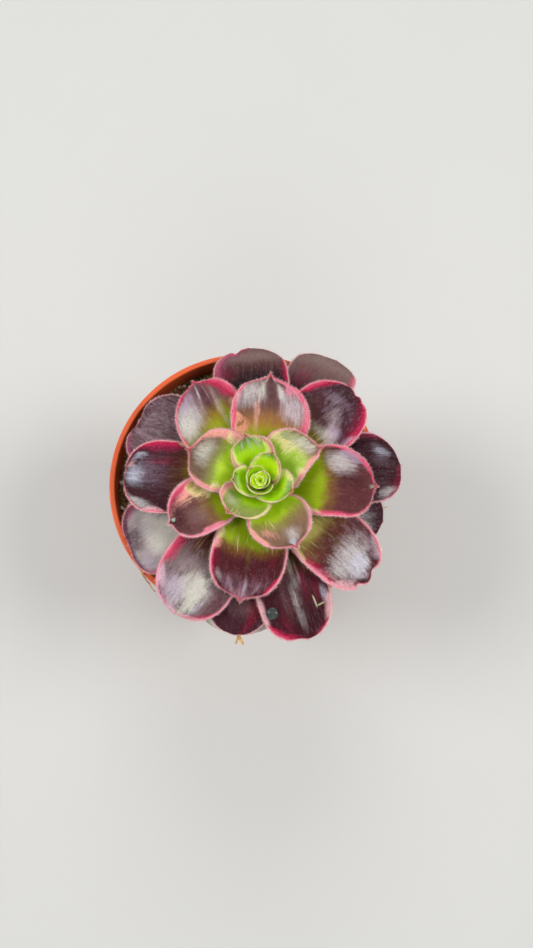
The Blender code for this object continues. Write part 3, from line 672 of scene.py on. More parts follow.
class PotSettings(bpy.types.PropertyGroup):
    """The nursery pot."""

    plastic: colour_setting("Plastic", "Colour of the pot", colour(242, 104, 52))
    rim_round: length_setting("Rim rounding", "How round the rim's edges are", 0.55)


class LeafSettings(bpy.types.PropertyGroup):
    """The leaves' shared looks."""

    bloom: colour_setting("Bloom", "Colour of the wax and dust on the leaves", colour(190, 180, 182))
    hair_length: length_setting("Hair length", "Length of the hairs on the margins", 0.75)
    hair_gap: length_setting("Hair gap", "Distance between hairs", 0.28)


class SoilSettings(bpy.types.PropertyGroup):
    """The peat and what is in it."""

    peat: colour_setting("Peat", "Colour of the peat", colour(146, 112, 70))
    grains: count_setting("Grains", "White grains to the square centimetre", 6)
    crumbs: count_setting("Crumbs", "Crumbs to the square centimetre", 55)
    fibres: count_setting("Fibres", "Fibres to the square centimetre", 5)


class StageSettings(bpy.types.PropertyGroup):
    """The floor, the lights and the camera."""

    floor: colour_setting("Floor", "Colour of the floor", colour(214, 213, 209))
    lens: bpy.props.FloatProperty(name="Lens", description="Focal length in millimetres", default=27.04)
    height: length_setting("Height", "Height of the camera", 359.8)


# Node trees, written as arithmetic


class Field:
    """A value that a node tree works out, so that a tree can be written as arithmetic."""

    def __init__(self, tree, socket):
        self.tree = tree
        self.socket = socket

    def __add__(self, other):
        return calc("ADD", self, other)

    def __radd__(self, other):
        return calc("ADD", other, self)

    def __sub__(self, other):
        return calc("SUBTRACT", self, other)

    def __rsub__(self, other):
        return calc("SUBTRACT", other, self)

    def __mul__(self, other):
        return calc("MULTIPLY", self, other)

    def __rmul__(self, other):
        return calc("MULTIPLY", other, self)

    def __truediv__(self, other):
        return calc("DIVIDE", self, other)

    def __pow__(self, other):
        return calc("POWER", self, other)

    def __neg__(self):
        return calc("MULTIPLY", self, -1.0)


def plug(value, socket):
    """Puts a field or a plain value into a socket."""
    if isinstance(value, Field):
        value.tree.links.new(value.socket, socket)
    else:
        socket.default_value = value


def add(tree, kind, inputs=None, out=0, **settings):
    """A new node with these settings and inputs, as the field of one of its outputs."""
    made = tree.nodes.new(kind)
    for name, value in settings.items():
        setattr(made, name, value)
    for key, value in (inputs or {}).items():
        plug(value, made.inputs[key])
    return Field(tree, made.outputs[out])


def calc(operation, *values, **settings):
    tree = next(value.tree for value in values if isinstance(value, Field))
    return add(tree, "ShaderNodeMath", dict(enumerate(values)), operation=operation, **settings)


def sine(value):
    return calc("SINE", value)


def cosine(value):
    return calc("COSINE", value)


def size_of(value):
    return calc("ABSOLUTE", value)


def root_of(value):
    return calc("SQRT", value)


def most(a, b):
    return calc("MAXIMUM", a, b)


def least(a, b):
    return calc("MINIMUM", a, b)


def over(value, limit):
    """1 where the value is over the limit, else 0."""
    return calc("GREATER_THAN", value, limit)


def within(value):
    """The value held between 0 and 1."""
    return calc("ADD", value, 0.0, use_clamp=True)


def smooth(low, high, value):
    """0 below low and 1 above high, with a soft step between; turned round where high is the lower."""
    inputs = {0: value, 1: low, 2: high, 3: 0.0, 4: 1.0}
    return add(value.tree, "ShaderNodeMapRange", inputs, interpolation_type="SMOOTHSTEP")


def bell(value, width):
    """1 where the value is 0, falling off smoothly on both sides."""
    scaled = value / width
    return calc("POWER", math.e, -(scaled * scaled))


def grain(place, scale, detail=2.0, rough=0.5, warp=0.0):
    """Soft noise between 0 and 1, at so many cycles to the unit of place."""
    inputs = {"Vector": place, "Scale": scale, "Detail": detail, "Roughness": rough, "Distortion": warp}
    return add(place.tree, "ShaderNodeTexNoise", inputs)


def vector(tree, x, y, z):
    return add(tree, "ShaderNodeCombineXYZ", {0: x, 1: y, 2: z})


def parts(value):
    """The x, y and z of a vector."""
    node = add(value.tree, "ShaderNodeSeparateXYZ", {0: value}).socket.node
    return [Field(value.tree, socket) for socket in node.outputs]


def joined(operation, a, b):
    """Two vectors added, subtracted or multiplied part by part."""
    return add(a.tree, "ShaderNodeVectorMath", {0: a, 1: b}, operation=operation)


def stretch(place, x, y, z):
    return joined("MULTIPLY", place, (x, y, z))


def scaled(place, size):
    return add(place.tree, "ShaderNodeVectorMath", {0: place, "Scale": size}, operation="SCALE")


def tint(amount, first, second):
    """One colour turning into another as amount goes from 0 to 1."""
    inputs = {0: amount, 6: first, 7: second}
    return add(amount.tree, "ShaderNodeMix", inputs, out=2, data_type="RGBA", clamp_factor=True)


FLOAT, WHOLE, VECTOR, COLOR = ("NodeSocket" + kind for kind in ("Float", "Int", "Vector", "Color"))
GEOMETRY, MATERIAL = "NodeSocketGeometry", "NodeSocketMaterial"


def new_group(kind, name, inputs, outputs):
    """A node group, with its sockets' names by type: (tree, its inputs as fields, its outputs' sockets)."""
    tree = bpy.data.node_groups.new(name, kind)
    for way, types in (("INPUT", inputs), ("OUTPUT", outputs)):
        for socket_type, labels in types.items():
            for label in labels.split(", "):
                tree.interface.new_socket(label, in_out=way, socket_type=socket_type)
    entry = tree.nodes.new("NodeGroupInput")
    fields = {socket.name: Field(tree, socket) for socket in entry.outputs}
    return tree, fields, tree.nodes.new("NodeGroupOutput").inputs


def shader_group(name, inputs, outputs):
    return new_group("ShaderNodeTree", name, inputs, outputs)


def use_group(tree, group, values):
    """A node that uses a group, with its inputs from the values by name: its outputs as fields, by name."""
    node = tree.nodes.new("ShaderNodeGroup")
    node.node_tree = group
    for socket in node.inputs:
        plug(values[socket.name], socket)
    return {socket.name: Field(tree, socket) for socket in node.outputs}


def geometry_group(name, inputs):
    """A group that makes a mesh: (tree, its inputs as fields, the socket that the mesh goes into)."""
    inputs = {**inputs, MATERIAL: "material"}
    tree, value, sockets = new_group("GeometryNodeTree", name, inputs, {GEOMETRY: "mesh"})
    return tree, value, sockets["mesh"]


def cylinder(tree, sides, rings):
    """A closed cylinder of radius 1 and depth 1 round Z."""
    inputs = {"Vertices": sides, "Side Segments": rings, "Radius": 1.0, "Depth": 1.0}
    return add(tree, "GeometryNodeMeshCylinder", inputs, fill_type="NGON")


def position(tree):
    return add(tree, "GeometryNodeInputPosition")


def keep_value(mesh, name, value, kind="FLOAT"):
    """The geometry with a field written to it as a named attribute."""
    inputs = {"Geometry": mesh, "Name": name, "Value": value}
    return add(mesh.tree, "GeometryNodeStoreNamedAttribute", inputs, data_type=kind, domain="POINT")


def kept(tree, name, kind="FLOAT"):
    """A named attribute of the geometry, as a field."""
    return add(tree, "GeometryNodeInputNamedAttribute", {"Name": name}, data_type=kind)


def move_to(mesh, place):
    return add(mesh.tree, "GeometryNodeSetPosition", {"Geometry": mesh, "Position": place})


def shaken(mesh, cycles, size, lift):
    """The geometry with its points pushed about by noise of so many cycles to the millimetre, and lifted."""
    inputs = {"Vector": position(mesh.tree), "Scale": cycles / MM, "Detail": 1.0}
    push = joined("SUBTRACT", add(mesh.tree, "ShaderNodeTexNoise", inputs, out=1), (0.5, 0.5, 0.5))
    push = joined("ADD", scaled(push, size), vector(mesh.tree, 0.0, 0.0, lift))
    return add(mesh.tree, "GeometryNodeSetPosition", {"Geometry": mesh, "Offset": push})


def random_vector(tree, low, high, seed):
    inputs = {0: low, 1: high, "Seed": seed}
    return add(tree, "FunctionNodeRandomValue", inputs, data_type="FLOAT_VECTOR")


def random_number(tree, low, high, seed):
    return add(tree, "FunctionNodeRandomValue", {2: low, 3: high, "Seed": seed}, out=1, data_type="FLOAT")


def copies(points, shape, turn, size):
    """A copy of a shape on each point, made real."""
    inputs = {"Points": points, "Instance": shape, "Rotation": turn, "Scale": size}
    return realised(add(points.tree, "GeometryNodeInstanceOnPoints", inputs))


def realised(mesh):
    return add(mesh.tree, "GeometryNodeRealizeInstances", {"Geometry": mesh})


def with_material(mesh, material, is_smooth=True):
    if is_smooth:
        mesh = add(mesh.tree, "GeometryNodeSetShadeSmooth", {"Geometry": mesh})
    return add(mesh.tree, "GeometryNodeSetMaterial", {"Geometry": mesh, "Material": material})


def grow(name, tree, values, base=None):
    """A piece whose mesh a tree makes from these values, and from base if the tree works on a mesh."""
    piece = bpy.data.objects.new(name, base or bpy.data.meshes.new(name))
    modifier = piece.modifiers.new("Tree", "NODES")
    modifier.node_group = tree
    for item in tree.interface.items_tree:
        if item.in_out == "INPUT" and item.name in values:
            modifier[item.identifier] = values[item.name]
    bpy.context.scene.collection.objects.link(piece)
    graph = bpy.context.evaluated_depsgraph_get()
    evaluated = piece.evaluated_get(graph)
    piece.data = bpy.data.meshes.new_from_object(evaluated, preserve_all_data_layers=True, depsgraph=graph)
    piece.modifiers.remove(modifier)
    piece.data.name = name
    return piece


def mesh_piece(name, points, faces, material, is_smooth=True):
    """A piece from points in millimetres and faces."""
    mesh = bpy.data.meshes.new(name)
    mesh.from_pydata([Vector(p) * MM for p in points], [], faces)
    mesh.materials.append(material)
    mesh.polygons.foreach_set("use_smooth", [is_smooth] * len(mesh.polygons))
    mesh.update()
    piece = bpy.data.objects.new(name, mesh)
    bpy.context.scene.collection.objects.link(piece)
    return piece


def join(name, pieces):
    """Several pieces made one, under a new name."""
    bpy.ops.object.select_all(action="DESELECT")
    for piece in pieces:
        piece.select_set(True)
    bpy.context.view_layer.objects.active = pieces[0]
    bpy.ops.object.join()
    pieces[0].name = name
    pieces[0].data.name = name
    return pieces[0]


def seat(piece, slot, *nodes):
    """Fixes a finished piece to the frame: its body, and hides the nodes it stands for. slot is not used."""
    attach(piece, BODY)
    if nodes:
        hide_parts(*nodes)


# Materials


def new_material(name, **sockets):
    """A material with a Principled shader: (material, its tree)."""
    material = bpy.data.materials.new(name)
    material.use_nodes = True
    for label, value in sockets.items():
        material.node_tree.nodes["Principled BSDF"].inputs[label.replace("_", " ")].default_value = value
    return material, material.node_tree


def coat(material, skin, rough, height=None):
    """The material with a colour, a roughness and a relief, whose height is in millimetres."""
    sockets = material.node_tree.nodes["Principled BSDF"].inputs
    plug(skin, sockets["Base Color"])
    plug(within(rough), sockets["Roughness"])
    if height is not None:
        inputs = {"Height": height, "Distance": MM, "Strength": 1.0}
        plug(add(height.tree, "ShaderNodeBump", inputs), sockets["Normal"])
    return material


def object_place(tree):
    """Object coordinates in millimetres."""
    return stretch(add(tree, "ShaderNodeTexCoord", out="Object"), 1 / MM, 1 / MM, 1 / MM)


def attribute(tree, name, out="Fac"):
    return add(tree, "ShaderNodeAttribute", out=out, attribute_name=name)


def grain_group():
    """Noises laid along a leaf: a patch's frayed edge, streaks, clouds, specks, wrinkles, creases, dust, and
    the painted sheen's texture, with its wrinkles as thin lines of painted shade; it breaks up every soft
    mark.
    """
    names = "fray, streak, fine_streak, cloud, speckle, wrinkle, crease, sheen, dust"
    tree, _, sockets = shader_group("Leaf grain", {}, {FLOAT: names})
    place = attribute(tree, "flat", "Vector")

    def along(across, lengthways, *settings):
        return grain(stretch(place, across, lengthways, 1.0), 1.0, *settings)

    noises = {
        "streak": along(1.1, 0.12, 3.0),
        "fine_streak": along(2.8, 0.18, 2.0, 0.6),
        "cloud": along(0.3, 0.2, 3.0),
        "speckle": grain(place, 1.6, 3.0, 0.6),
        "crease": along(0.7, 0.24, 3.0, 0.55, 1.4),
        "dust": grain(place, 3.4, 1.0),
    }
    waved = along(0.75, 0.4, 3.0, 0.6, 1.2)
    wrinkle = smooth(0.86, 1.0, 1.0 - size_of(along(1.5, 0.7, 2.0, 0.5, 0.8) * 2.0 - 1.0))
    streak, fine_streak, cloud, speckle = (
        noises[name] - 0.5 for name in ("streak", "fine_streak", "cloud", "speckle")
    )
    noises["wrinkle"] = wrinkle
    noises["fray"] = streak + cloud * 1.2 + speckle * 1.2 + (waved - 0.5) * 0.6
    # the texture of the painted sheen: streaky and blotchy, with the wrinkles as thin lines of painted shade
    noises["sheen"] = within(0.72 + fine_streak * 0.9 + (waved - 0.5) * 1.3 + speckle * 1.1 - wrinkle * 0.45)
    for name, noise_field in noises.items():
        plug(noise_field, sockets[name])
    return tree


def ground_group():
    """A leaf's ground colour: its green foot, what that turns into, and the dark end, finely streaked."""
    inputs = {COLOR: "fresh, brown, dark", FLOAT: "end, blur, streaks, streak, fine_streak, cloud, speckle"}
    tree, value, sockets = shader_group("Leaf ground", inputs, {COLOR: "skin"})
    s, t = attribute(tree, "across"), attribute(tree, "along")
    streak, fine_streak = value["streak"], value["fine_streak"]
    end, blur = value["end"], value["blur"]
    turn = t + (streak - 0.5) * 0.07 + (fine_streak - 0.5) * 0.05
    turn = turn + (value["cloud"] - 0.5) * 0.12 + (value["speckle"] - 0.5) * 0.03
    skin = tint(smooth(end - blur, end + blur, turn), value["fresh"], value["brown"])
    is_dark = smooth(end, end + blur * 3.0, turn)
    skin = tint(is_dark, skin, value["dark"])
    skin = tint(smooth(0.30, 0.08, t) * 0.35, skin, LIME)
    pale = most(smooth(0.56, 0.72, streak), smooth(0.58, 0.74, fine_streak) * 0.8)
    pale = pale * value["streaks"] * smooth(0.15, 0.35, t) * (1.0 - is_dark)
    skin = tint(pale * 0.6, skin, PALE_STREAK)
    deep = smooth(0.5, 0.8, fine_streak) * 0.5 + smooth(0.52, 0.72, streak) * 0.5
    skin = tint(deep * least(value["streaks"], 0.6) * is_dark, skin, INK)
    vein = bell(s, 0.04) * smooth(0.9, 0.2, t) * 0.2
    plug(tint(vein, skin, value["fresh"]), sockets["skin"])
    return tree


def mark_group():
    """A patch of another colour: an ellipse in s and t with a frayed edge, streaked where it is soft."""
    inputs = {COLOR: "skin, tone", FLOAT: "fray, sheen, s, t, width, length, strength, soft, ragged, slant"}
    tree, value, sockets = shader_group("Leaf mark", inputs, {COLOR: "skin"})
    far_t = attribute(tree, "along") - value["t"]
    far_s = (attribute(tree, "across") - value["s"] - far_t * value["slant"]) / value["width"]
    far_t = far_t / value["length"]
    far = root_of(far_s * far_s + far_t * far_t) + value["fray"] * value["ragged"]
    soft = value["soft"]
    amount = smooth(1.0 + soft * 0.75, 1.0 - soft * 1.1, far) * value["strength"]
    amount = amount * (1.0 - soft * (1.0 - value["sheen"]))
    plug(tint(amount, value["skin"], value["tone"]), sockets["skin"])
    return tree


def band_group():
    """A band along one margin, with an outer and an inner colour."""
    inputs = {COLOR: "skin, outer, inner", FLOAT: "fray, speckle, side, t, spread, width, strength, soft"}
    tree, value, sockets = shader_group("Leaf band", inputs, {COLOR: "skin"})
    s, t, depth = (attribute(tree, name) for name in ("across", "along", "edge"))
    fray = value["fray"]
    far = size_of(t - value["t"]) / value["spread"]
    width = value["width"] * smooth(1.6, 0.4, far + fray * 0.4) * (1.0 + fray * 0.6)
    soft = value["soft"] * 1.3
    inside = smooth(width + soft, width - soft, depth + fray * 0.5) * smooth(0.0, 0.8, width)
    inside = inside * smooth(-0.05, 0.05, s * value["side"]) * value["strength"]
    inside = inside * (1.0 - smooth(0.5, 0.66, value["speckle"]) * smooth(0.3, 1.2, depth) * 0.5)
    deep = smooth(0.25, 0.75, depth / most(width, 0.2) + fray * 0.5)
    plug(tint(inside, value["skin"], tint(deep, value["outer"], value["inner"])), sockets["skin"])
    return tree


def finish_group():
    """The creases' painted light and shade, the coloured margin and point, dust, the underside, roughness,
    relief.
    """
    noises = "streak, fine_streak, cloud, speckle, wrinkle, crease, dust"
    inputs = {COLOR: "skin, edge, fuzz, brown, bloom", FLOAT: "margin, tip, creased, " + noises}
    tree, value, sockets = shader_group("Leaf finish", inputs, {COLOR: "skin", FLOAT: "rough, height"})
    s, t, depth, under = (attribute(tree, name) for name in ("across", "along", "edge", "under"))
    streak, fine_streak, cloud, speckle, wrinkle, crease, dust = (value[name] for name in noises.split(", "))
    depth = depth + (speckle - 0.5) * 1.0 + (fine_streak - 0.5) * 0.9
    width = value["margin"] * (0.45 + cloud * 0.8)
    # painted highlights (lilac) and painted shade (ink) along the creases, on the leaf's outer part
    creased = value["creased"] * smooth(0.4, 0.65, t)
    skin = tint(smooth(0.5, 0.72, crease) * creased * 0.7, value["skin"], LILAC)
    skin = tint(smooth(0.48, 0.3, crease) * creased * 0.8, skin, INK)
    edge = tint(smooth(0.45, 0.65, speckle) * 0.7, value["edge"], value["fuzz"])
    skin = tint(smooth(width * 1.4 + 0.1, width * 0.3, depth) * 0.9, skin, edge)
    skin = tint(smooth(0.4, 0.0, depth) * 0.65, skin, value["fuzz"])
    point = smooth(0.87, 0.96, t + (speckle - 0.5) * 0.04) * smooth(1.8, 0.6, depth + size_of(s))
    skin = tint(point * value["tip"] * 0.85, skin, POINT_RED)
    skin = tint(smooth(0.7, 0.76, dust) * 0.55, skin, value["bloom"])
    plug(tint(under * 0.55, skin, value["brown"]), sockets["skin"])
    plug(0.33 + (speckle - 0.5) * 0.25 + wrinkle * 0.1 + under * 0.2, sockets["rough"])
    ripple = grain(stretch(attribute(tree, "flat", "Vector"), 0.42, 0.07, 1.0), 1.0, 2.0)
    height = (fine_streak - 0.5) * 0.07 + (streak - 0.5) * 0.16 + (speckle - 0.5) * 0.08 - wrinkle * 0.05
    plug(height + (ripple - 0.5) * smooth(0.3, 1.0, t) * 1.1, sockets["height"])
    return tree


def leaf_groups():
    """The groups that every leaf's material is put together from."""
    return {
        "grain": grain_group(),
        "ground": ground_group(),
        "mark": mark_group(),
        "band": band_group(),
        "finish": finish_group(),
    }


def leaf_material(name, groups, age, settings):
    """The material of one leaf: its table of colours, over the shared groups."""
    young = min(1.0, max(0.0, (12 - age) / 6))
    material, tree = new_material(
        name, Specular_IOR_Level=0.16 + 0.24 * young, Subsurface_Weight=0.05 + 0.35 * young,
        Subsurface_Radius=(1.0, 0.9, 0.2), Subsurface_Scale=2.0 * MM,
    )
    look = {**SKIN, **SKINS.get(age, SKINS[0]), "bloom": tuple(settings.bloom)}
    look.update(use_group(tree, groups["grain"], {}))
    look.update(use_group(tree, groups["ground"], look))
    for kind in ("band", "mark"):
        for patch in look[kind + "s"]:
            look.update(use_group(tree, groups[kind], {**look, **patch._asdict()}))
    look.update(use_group(tree, groups["finish"], look))
    return coat(material, look["skin"], look["rough"], look["height"])


# The leaves


def blend(age, ages, values):
    """A value that changes steadily with the leaf's age."""
    for k in range(1, len(ages)):
        if age <= ages[k]:
            share = (age - ages[k - 1]) / (ages[k] - ages[k - 1])
            return values[k - 1] + (values[k] - values[k - 1]) * share
    return values[-1]


def stem_radius(age):
    """The stem's radius where the leaf of that age sits on it."""
    return TIP_RADIUS + (STEM_RADIUS - TIP_RADIUS) * min(1.0, max(0.0, age) / TAPER_AGE) ** 0.8


def midrib(leaf):
    """The four control points of the leaf's arched midrib, as (distance from the stem's axis, 0, height)."""
    foot = (stem_radius(leaf.age) + FOOT_GAP, max(CROWN_RISE - LEAF_PITCH * leaf.age, LOWEST_FOOT))
    if leaf.age < 1:
        foot = BUD_FOOT
    tip = (leaf.reach, leaf.rise)
    along, up = tip[0] - foot[0], tip[1] - foot[1]
    chord, length = math.atan2(up, along), math.hypot(along, up)
    arch = math.radians(blend(max(leaf.age, 1), (1, 4, 8, 12, 17, 21, 30), (-14, -4, 10, 18, 20, 22, 22)))
    handle = 0.38 * length
    start = (foot[0] + handle * math.cos(chord + arch), foot[1] + handle * math.sin(chord + arch))
    end = (tip[0] - handle * math.cos(chord - arch), tip[1] - handle * math.sin(chord - arch))
    return [(p[0], 0.0, p[1]) for p in (foot, start, end, tip)], length * 1.05


LEAF_SIZES = (
    "turn, bend, length, width, foot share, widest, low, left share, right share, left blunt, right blunt,"
    " left cup, right cup, point, thickness, lift, skew, ogee, spur, droop, wave, folds, lean, seed,"
    " notch 1 depth, notch 1 place, notch 1 width, notch 2 depth, notch 2 place, notch 2 width"
)
MIDRIB = "foot, foot handle, tip handle, tip"


def leaf_values(leaf, material):
    """What the leaf's tree is told about this leaf."""
    shape = {**SHAPE, **SHAPES.get(leaf.age, SHAPES[0])}
    age = max(leaf.age, 1)
    points, length = midrib(leaf)
    sizes = {
        **leaf._asdict(),
        **shape,
        "turn": math.radians((FIRST_TURN + GOLDEN_ANGLE * leaf.age + leaf.turn) % 360),
        "bend": math.radians(leaf.bend),
        "length": length,
        "foot share": blend(age, (1, 5, 9, 30), (0.62, 0.55, 0.40, 0.30)),
        "widest": blend(age, (1, 9, 30), (0.50, 0.60, 0.68)) + shape["widest"],
        "thickness": blend(age, (1, 9, 30, 37), (0.7, 1.4, 1.8, 0.9)),
        "lift": shape["lift"] * min(1.0, leaf.width / 28),
        "left share": shape["left"][0],
        "right share": shape["right"][0],
        "left blunt": leaf.blunt + shape["left"][1],
        "right blunt": leaf.blunt + shape["right"][1],
        "left cup": shape["cup"][0],
        "right cup": shape["cup"][1],
        "lean": leaf.age <= LEANING_AGE,
        "seed": leaf.age * 3.7 + 20.0,
    }
    for number, notch in enumerate(shape["notches"], 1):
        for what, value in zip(("depth", "place", "width"), notch):
            sizes[f"notch {number} {what}"] = value
    values = {name: float(sizes[name]) for name in LEAF_SIZES.split(", ")}
    values.update({name: list(point) for name, point in zip(MIDRIB.split(", "), points)})
    rings, sides = (84, 72) if leaf.age > 8 else (52, 48)
    return {**values, "rings": rings, "sides": sides, "material": material}


def leaf_share(t, full, blunt, value):
    """How much of its full width a leaf has at t, where it is widest at full."""
    rising = sine(least(t / full, 1.0) * (math.pi / 2)) ** 1.25
    rising = value["foot share"] + (1.0 - value["foot share"]) * rising
    past = most(t - full, 0.0) / (1.0 - full)
    return rising * most(1.0 - past**blunt, 0.0) ** value["point"]


def weighed(weights, numbers):
    return sum((weight * number for weight, number in zip(weights, numbers)), 0.0)


def leaf_tree():
    """The tree that makes a leaf: a closed tube of a flat, lens-shaped section along the arched midrib."""
    tree, value, mesh = geometry_group("Leaf", {FLOAT: LEAF_SIZES, VECTOR: MIDRIB, WHOLE: "rings, sides"})
    blade = cylinder(tree, value["sides"], value["rings"])
    x, y, z = parts(position(tree))
    blade = keep_value(blade, "across", x)
    blade = keep_value(blade, "along", 1.0 - most(0.5 - z, 0.0) ** 2.1)  # the rings crowd towards the tip
    blade = keep_value(blade, "level", calc("SIGN", y) * size_of(y) ** 0.8)
    s, t, level = (kept(tree, name) for name in ("across", "along", "level"))
    is_left = over(s, 0.0)

    def of_side(what):
        return value["right " + what] + (value["left " + what] - value["right " + what]) * is_left

    def noise_at(x, y, z, detail=1.0):
        return grain(vector(tree, x, y, z), 1.0, detail) - 0.5

    # half the width on each side, drawn out to a point at the end
    length, seed = value["length"], value["seed"]
    blunt = of_side("blunt")
    widest = value["widest"] - value["low"] * (1.0 - is_left)
    uneven = 1.0 + noise_at(t * 4.0, is_left * 4.0, seed, 2.0) * 0.06
    full = value["width"] * 0.5 * of_side("share") * uneven
    body = full * leaf_share(t, widest, blunt, value)
    ogee = value["ogee"] / length
    drawn = full * leaf_share(1.0 - ogee, widest, blunt, value) * ((1.0 - t) / ogee) ** 1.5
    half = most(calc("SMOOTH_MIN", body, drawn, 0.5), 0.015)
    across_mm = s * half

    # how far each place is from the margin, straight across it
    step = 0.012
    slope = (body - full * leaf_share(most(t - step, 0.0), widest, blunt, value)) / (length * step)
    depth = (half - size_of(across_mm)) / root_of(1.0 + slope * slope)

    # the midrib, a Bezier curve
    left = 1.0 - t
    radii, _, heights = zip(*(parts(value[name]) for name in MIDRIB.split(", ")))
    weights = [left * left * left, 3.0 * t * left * left, 3.0 * t * t * left, t * t * t]
    radius, height = weighed(weights, radii), weighed(weights, heights)
    weights = [left * left * 3.0, t * left * 6.0, t * t * 3.0]
    run, climb = (weighed(weights, [b - a for a, b in zip(line, line[1:])]) for line in (radii, heights))
    norm = root_of(run * run + climb * climb)

    # thickness, margins, folds, the hanging end and the notches
    thick = least(value["thickness"] * 0.5, half * 0.7) * (1.0 - 0.25 * t)
    offset = thick * (level - 1.0)
    outer = smooth(0.35, 1.0, t)
    bulge = sine(math.pi * t)
    rise = value["lift"] * s * s * bulge
    rise = rise + value["wave"] * 2.6 * noise_at(t * 3.2, is_left * 6.0, seed + 5.0) * s * s * outer
    rise = rise + value["folds"] * 2.2 * noise_at(s * 2.4, t * 0.9, seed + 9.0) * outer
    rise = rise - 0.25 * bell(s, 0.16) * bulge * least(value["width"] / 24.0, 1.0)
    rise = rise - value["droop"] * smooth(0.72, 1.0, t) ** 2.0
    for number in (1, 2):
        far = across_mm / (value["width"] * 0.5) - value[f"notch {number} place"]
        cut = value[f"notch {number} depth"] * bell(far, value[f"notch {number} width"])
        radius = radius - cut * smooth(0.84, 1.0, t)
    radius = radius - of_side("cup") * s * s * bulge
    radius = radius - value["spur"] * (1.0 - bell(across_mm, 0.55)) * smooth(0.8, 1.0, t)
    radius = radius - climb / norm * offset
    height = height + run / norm * offset + rise
    sideways = value["skew"] * smooth(0.55, 1.0, t) ** 1.5
    angle = value["turn"] + value["bend"] * t * t + (across_mm + sideways) / most(radius, 0.2)
    place = vector(
        tree,
        (STEM_X + value["lean"] * BUD_LEAN[0] + radius * cosine(angle)) * MM,
        (STEM_Y + value["lean"] * BUD_LEAN[1] + radius * sine(angle)) * MM,
        (RIM_HEIGHT + height) * MM,
    )

    # what the leaf's material reads
    blade = keep_value(blade, "edge", depth)
    blade = keep_value(blade, "under", smooth(-0.1, -0.6, level))
    fan = across_mm / leaf_share(least(t, widest), widest, blunt, value)
    blade = keep_value(blade, "flat", vector(tree, fan, t * length, seed), "FLOAT_VECTOR")
    plug(with_material(move_to(blade, place), value["material"]), mesh)
    return tree


def make_leaf(leaf, name, tree, groups, settings):
    return grow(name, tree, leaf_values(leaf, leaf_material(name, groups, leaf.age, settings)))


def hair_tree():
    """The tree that sets fine hairs along a leaf's two margins, pointing away from it."""
    inputs = {GEOMETRY: "leaf", FLOAT: "length, gap", WHOLE: "seed"}
    tree, value, mesh = geometry_group("Margin hairs", inputs)
    leaf = keep_value(value["leaf"], "out", add(tree, "GeometryNodeInputNormal"), "FLOAT_VECTOR")
    on_margin = over(size_of(kept(tree, "across")), 0.9999) * over(kept(tree, "along"), 0.2)
    line = add(tree, "GeometryNodeMeshToCurve", {"Mesh": leaf, "Selection": on_margin})
    points = add(tree, "GeometryNodeResampleCurve", {"Curve": line, "Length": value["gap"]}, mode="LENGTH")
    inputs = {"Vertices": 3, "Radius Top": 0.006 * MM, "Radius Bottom": 0.1 * MM, "Depth": value["length"]}
    hair = add(tree, "GeometryNodeMeshCone", inputs, fill_type="NGON")
    stray = random_vector(tree, (-0.5, -0.5, -0.5), (0.5, 0.5, 0.5), value["seed"])
    way = joined("ADD", kept(tree, "out", "FLOAT_VECTOR"), stray)
    turn = add(tree, "FunctionNodeAlignRotationToVector", {"Vector": way}, axis="Z")
    size = random_number(tree, 0.55, 1.25, value["seed"])
    plug(with_material(copies(points, hair, turn, vector(tree, size, size, size)), value["material"]), mesh)
    return tree


# The pot and what it holds


def round_about(k, count, start=0.0):
    """The angle of the k-th of so many places round a circle."""
    return 2 * math.pi * (k + start) / count


def turned_mesh(profile, steps):
    """Points and faces of a profile of (radius, height), which runs down the outer side, turned round Z."""
    points, rings = [], []
    for radius, height in profile:
        count = steps if radius else 1
        rings.append([len(points) + k for k in range(count)])
        for k in range(count):
            turn = round_about(k, steps)
            points.append((radius * math.cos(turn), radius * math.sin(turn), height))
    faces = []
    for upper, lower in zip(rings, rings[1:]):
        for k in range(steps):
            j = (k + 1) % steps
            corners = ((upper, k), (lower, k), (lower, j), (upper, j))
            faces.append(list(dict.fromkeys(ring[i % len(ring)] for ring, i in corners)))
    return points, faces


def rounded(profile, radii, steps=5):
    """A profile with its corners rounded to these radii."""
    made = [profile[0]]
    for k in range(1, len(profile) - 1):
        corner, before, after = (Vector((*profile[i], 0)) for i in (k, k - 1, k + 1))
        size = radii.get(k, 0.0)
        if not size:
            made.append(profile[k])
            continue
        start, end = (
            corner + (other - corner).normalized() * min(size, (other - corner).length * 0.5)
            for other in (before, after)
        )
        for j in range(steps + 1):
            share = j / steps
            point = start * (1 - share) ** 2 + corner * 2 * share * (1 - share) + end * share**2
            made.append((point.x, point.y))
    return made + [profile[-1]]


def wall_radius(height):
    """The pot's outer radius below its collar."""
    return FOOT_RADIUS + (RIM_RADIUS - COLLAR_STEP - FOOT_RADIUS) * height / SHOULDER


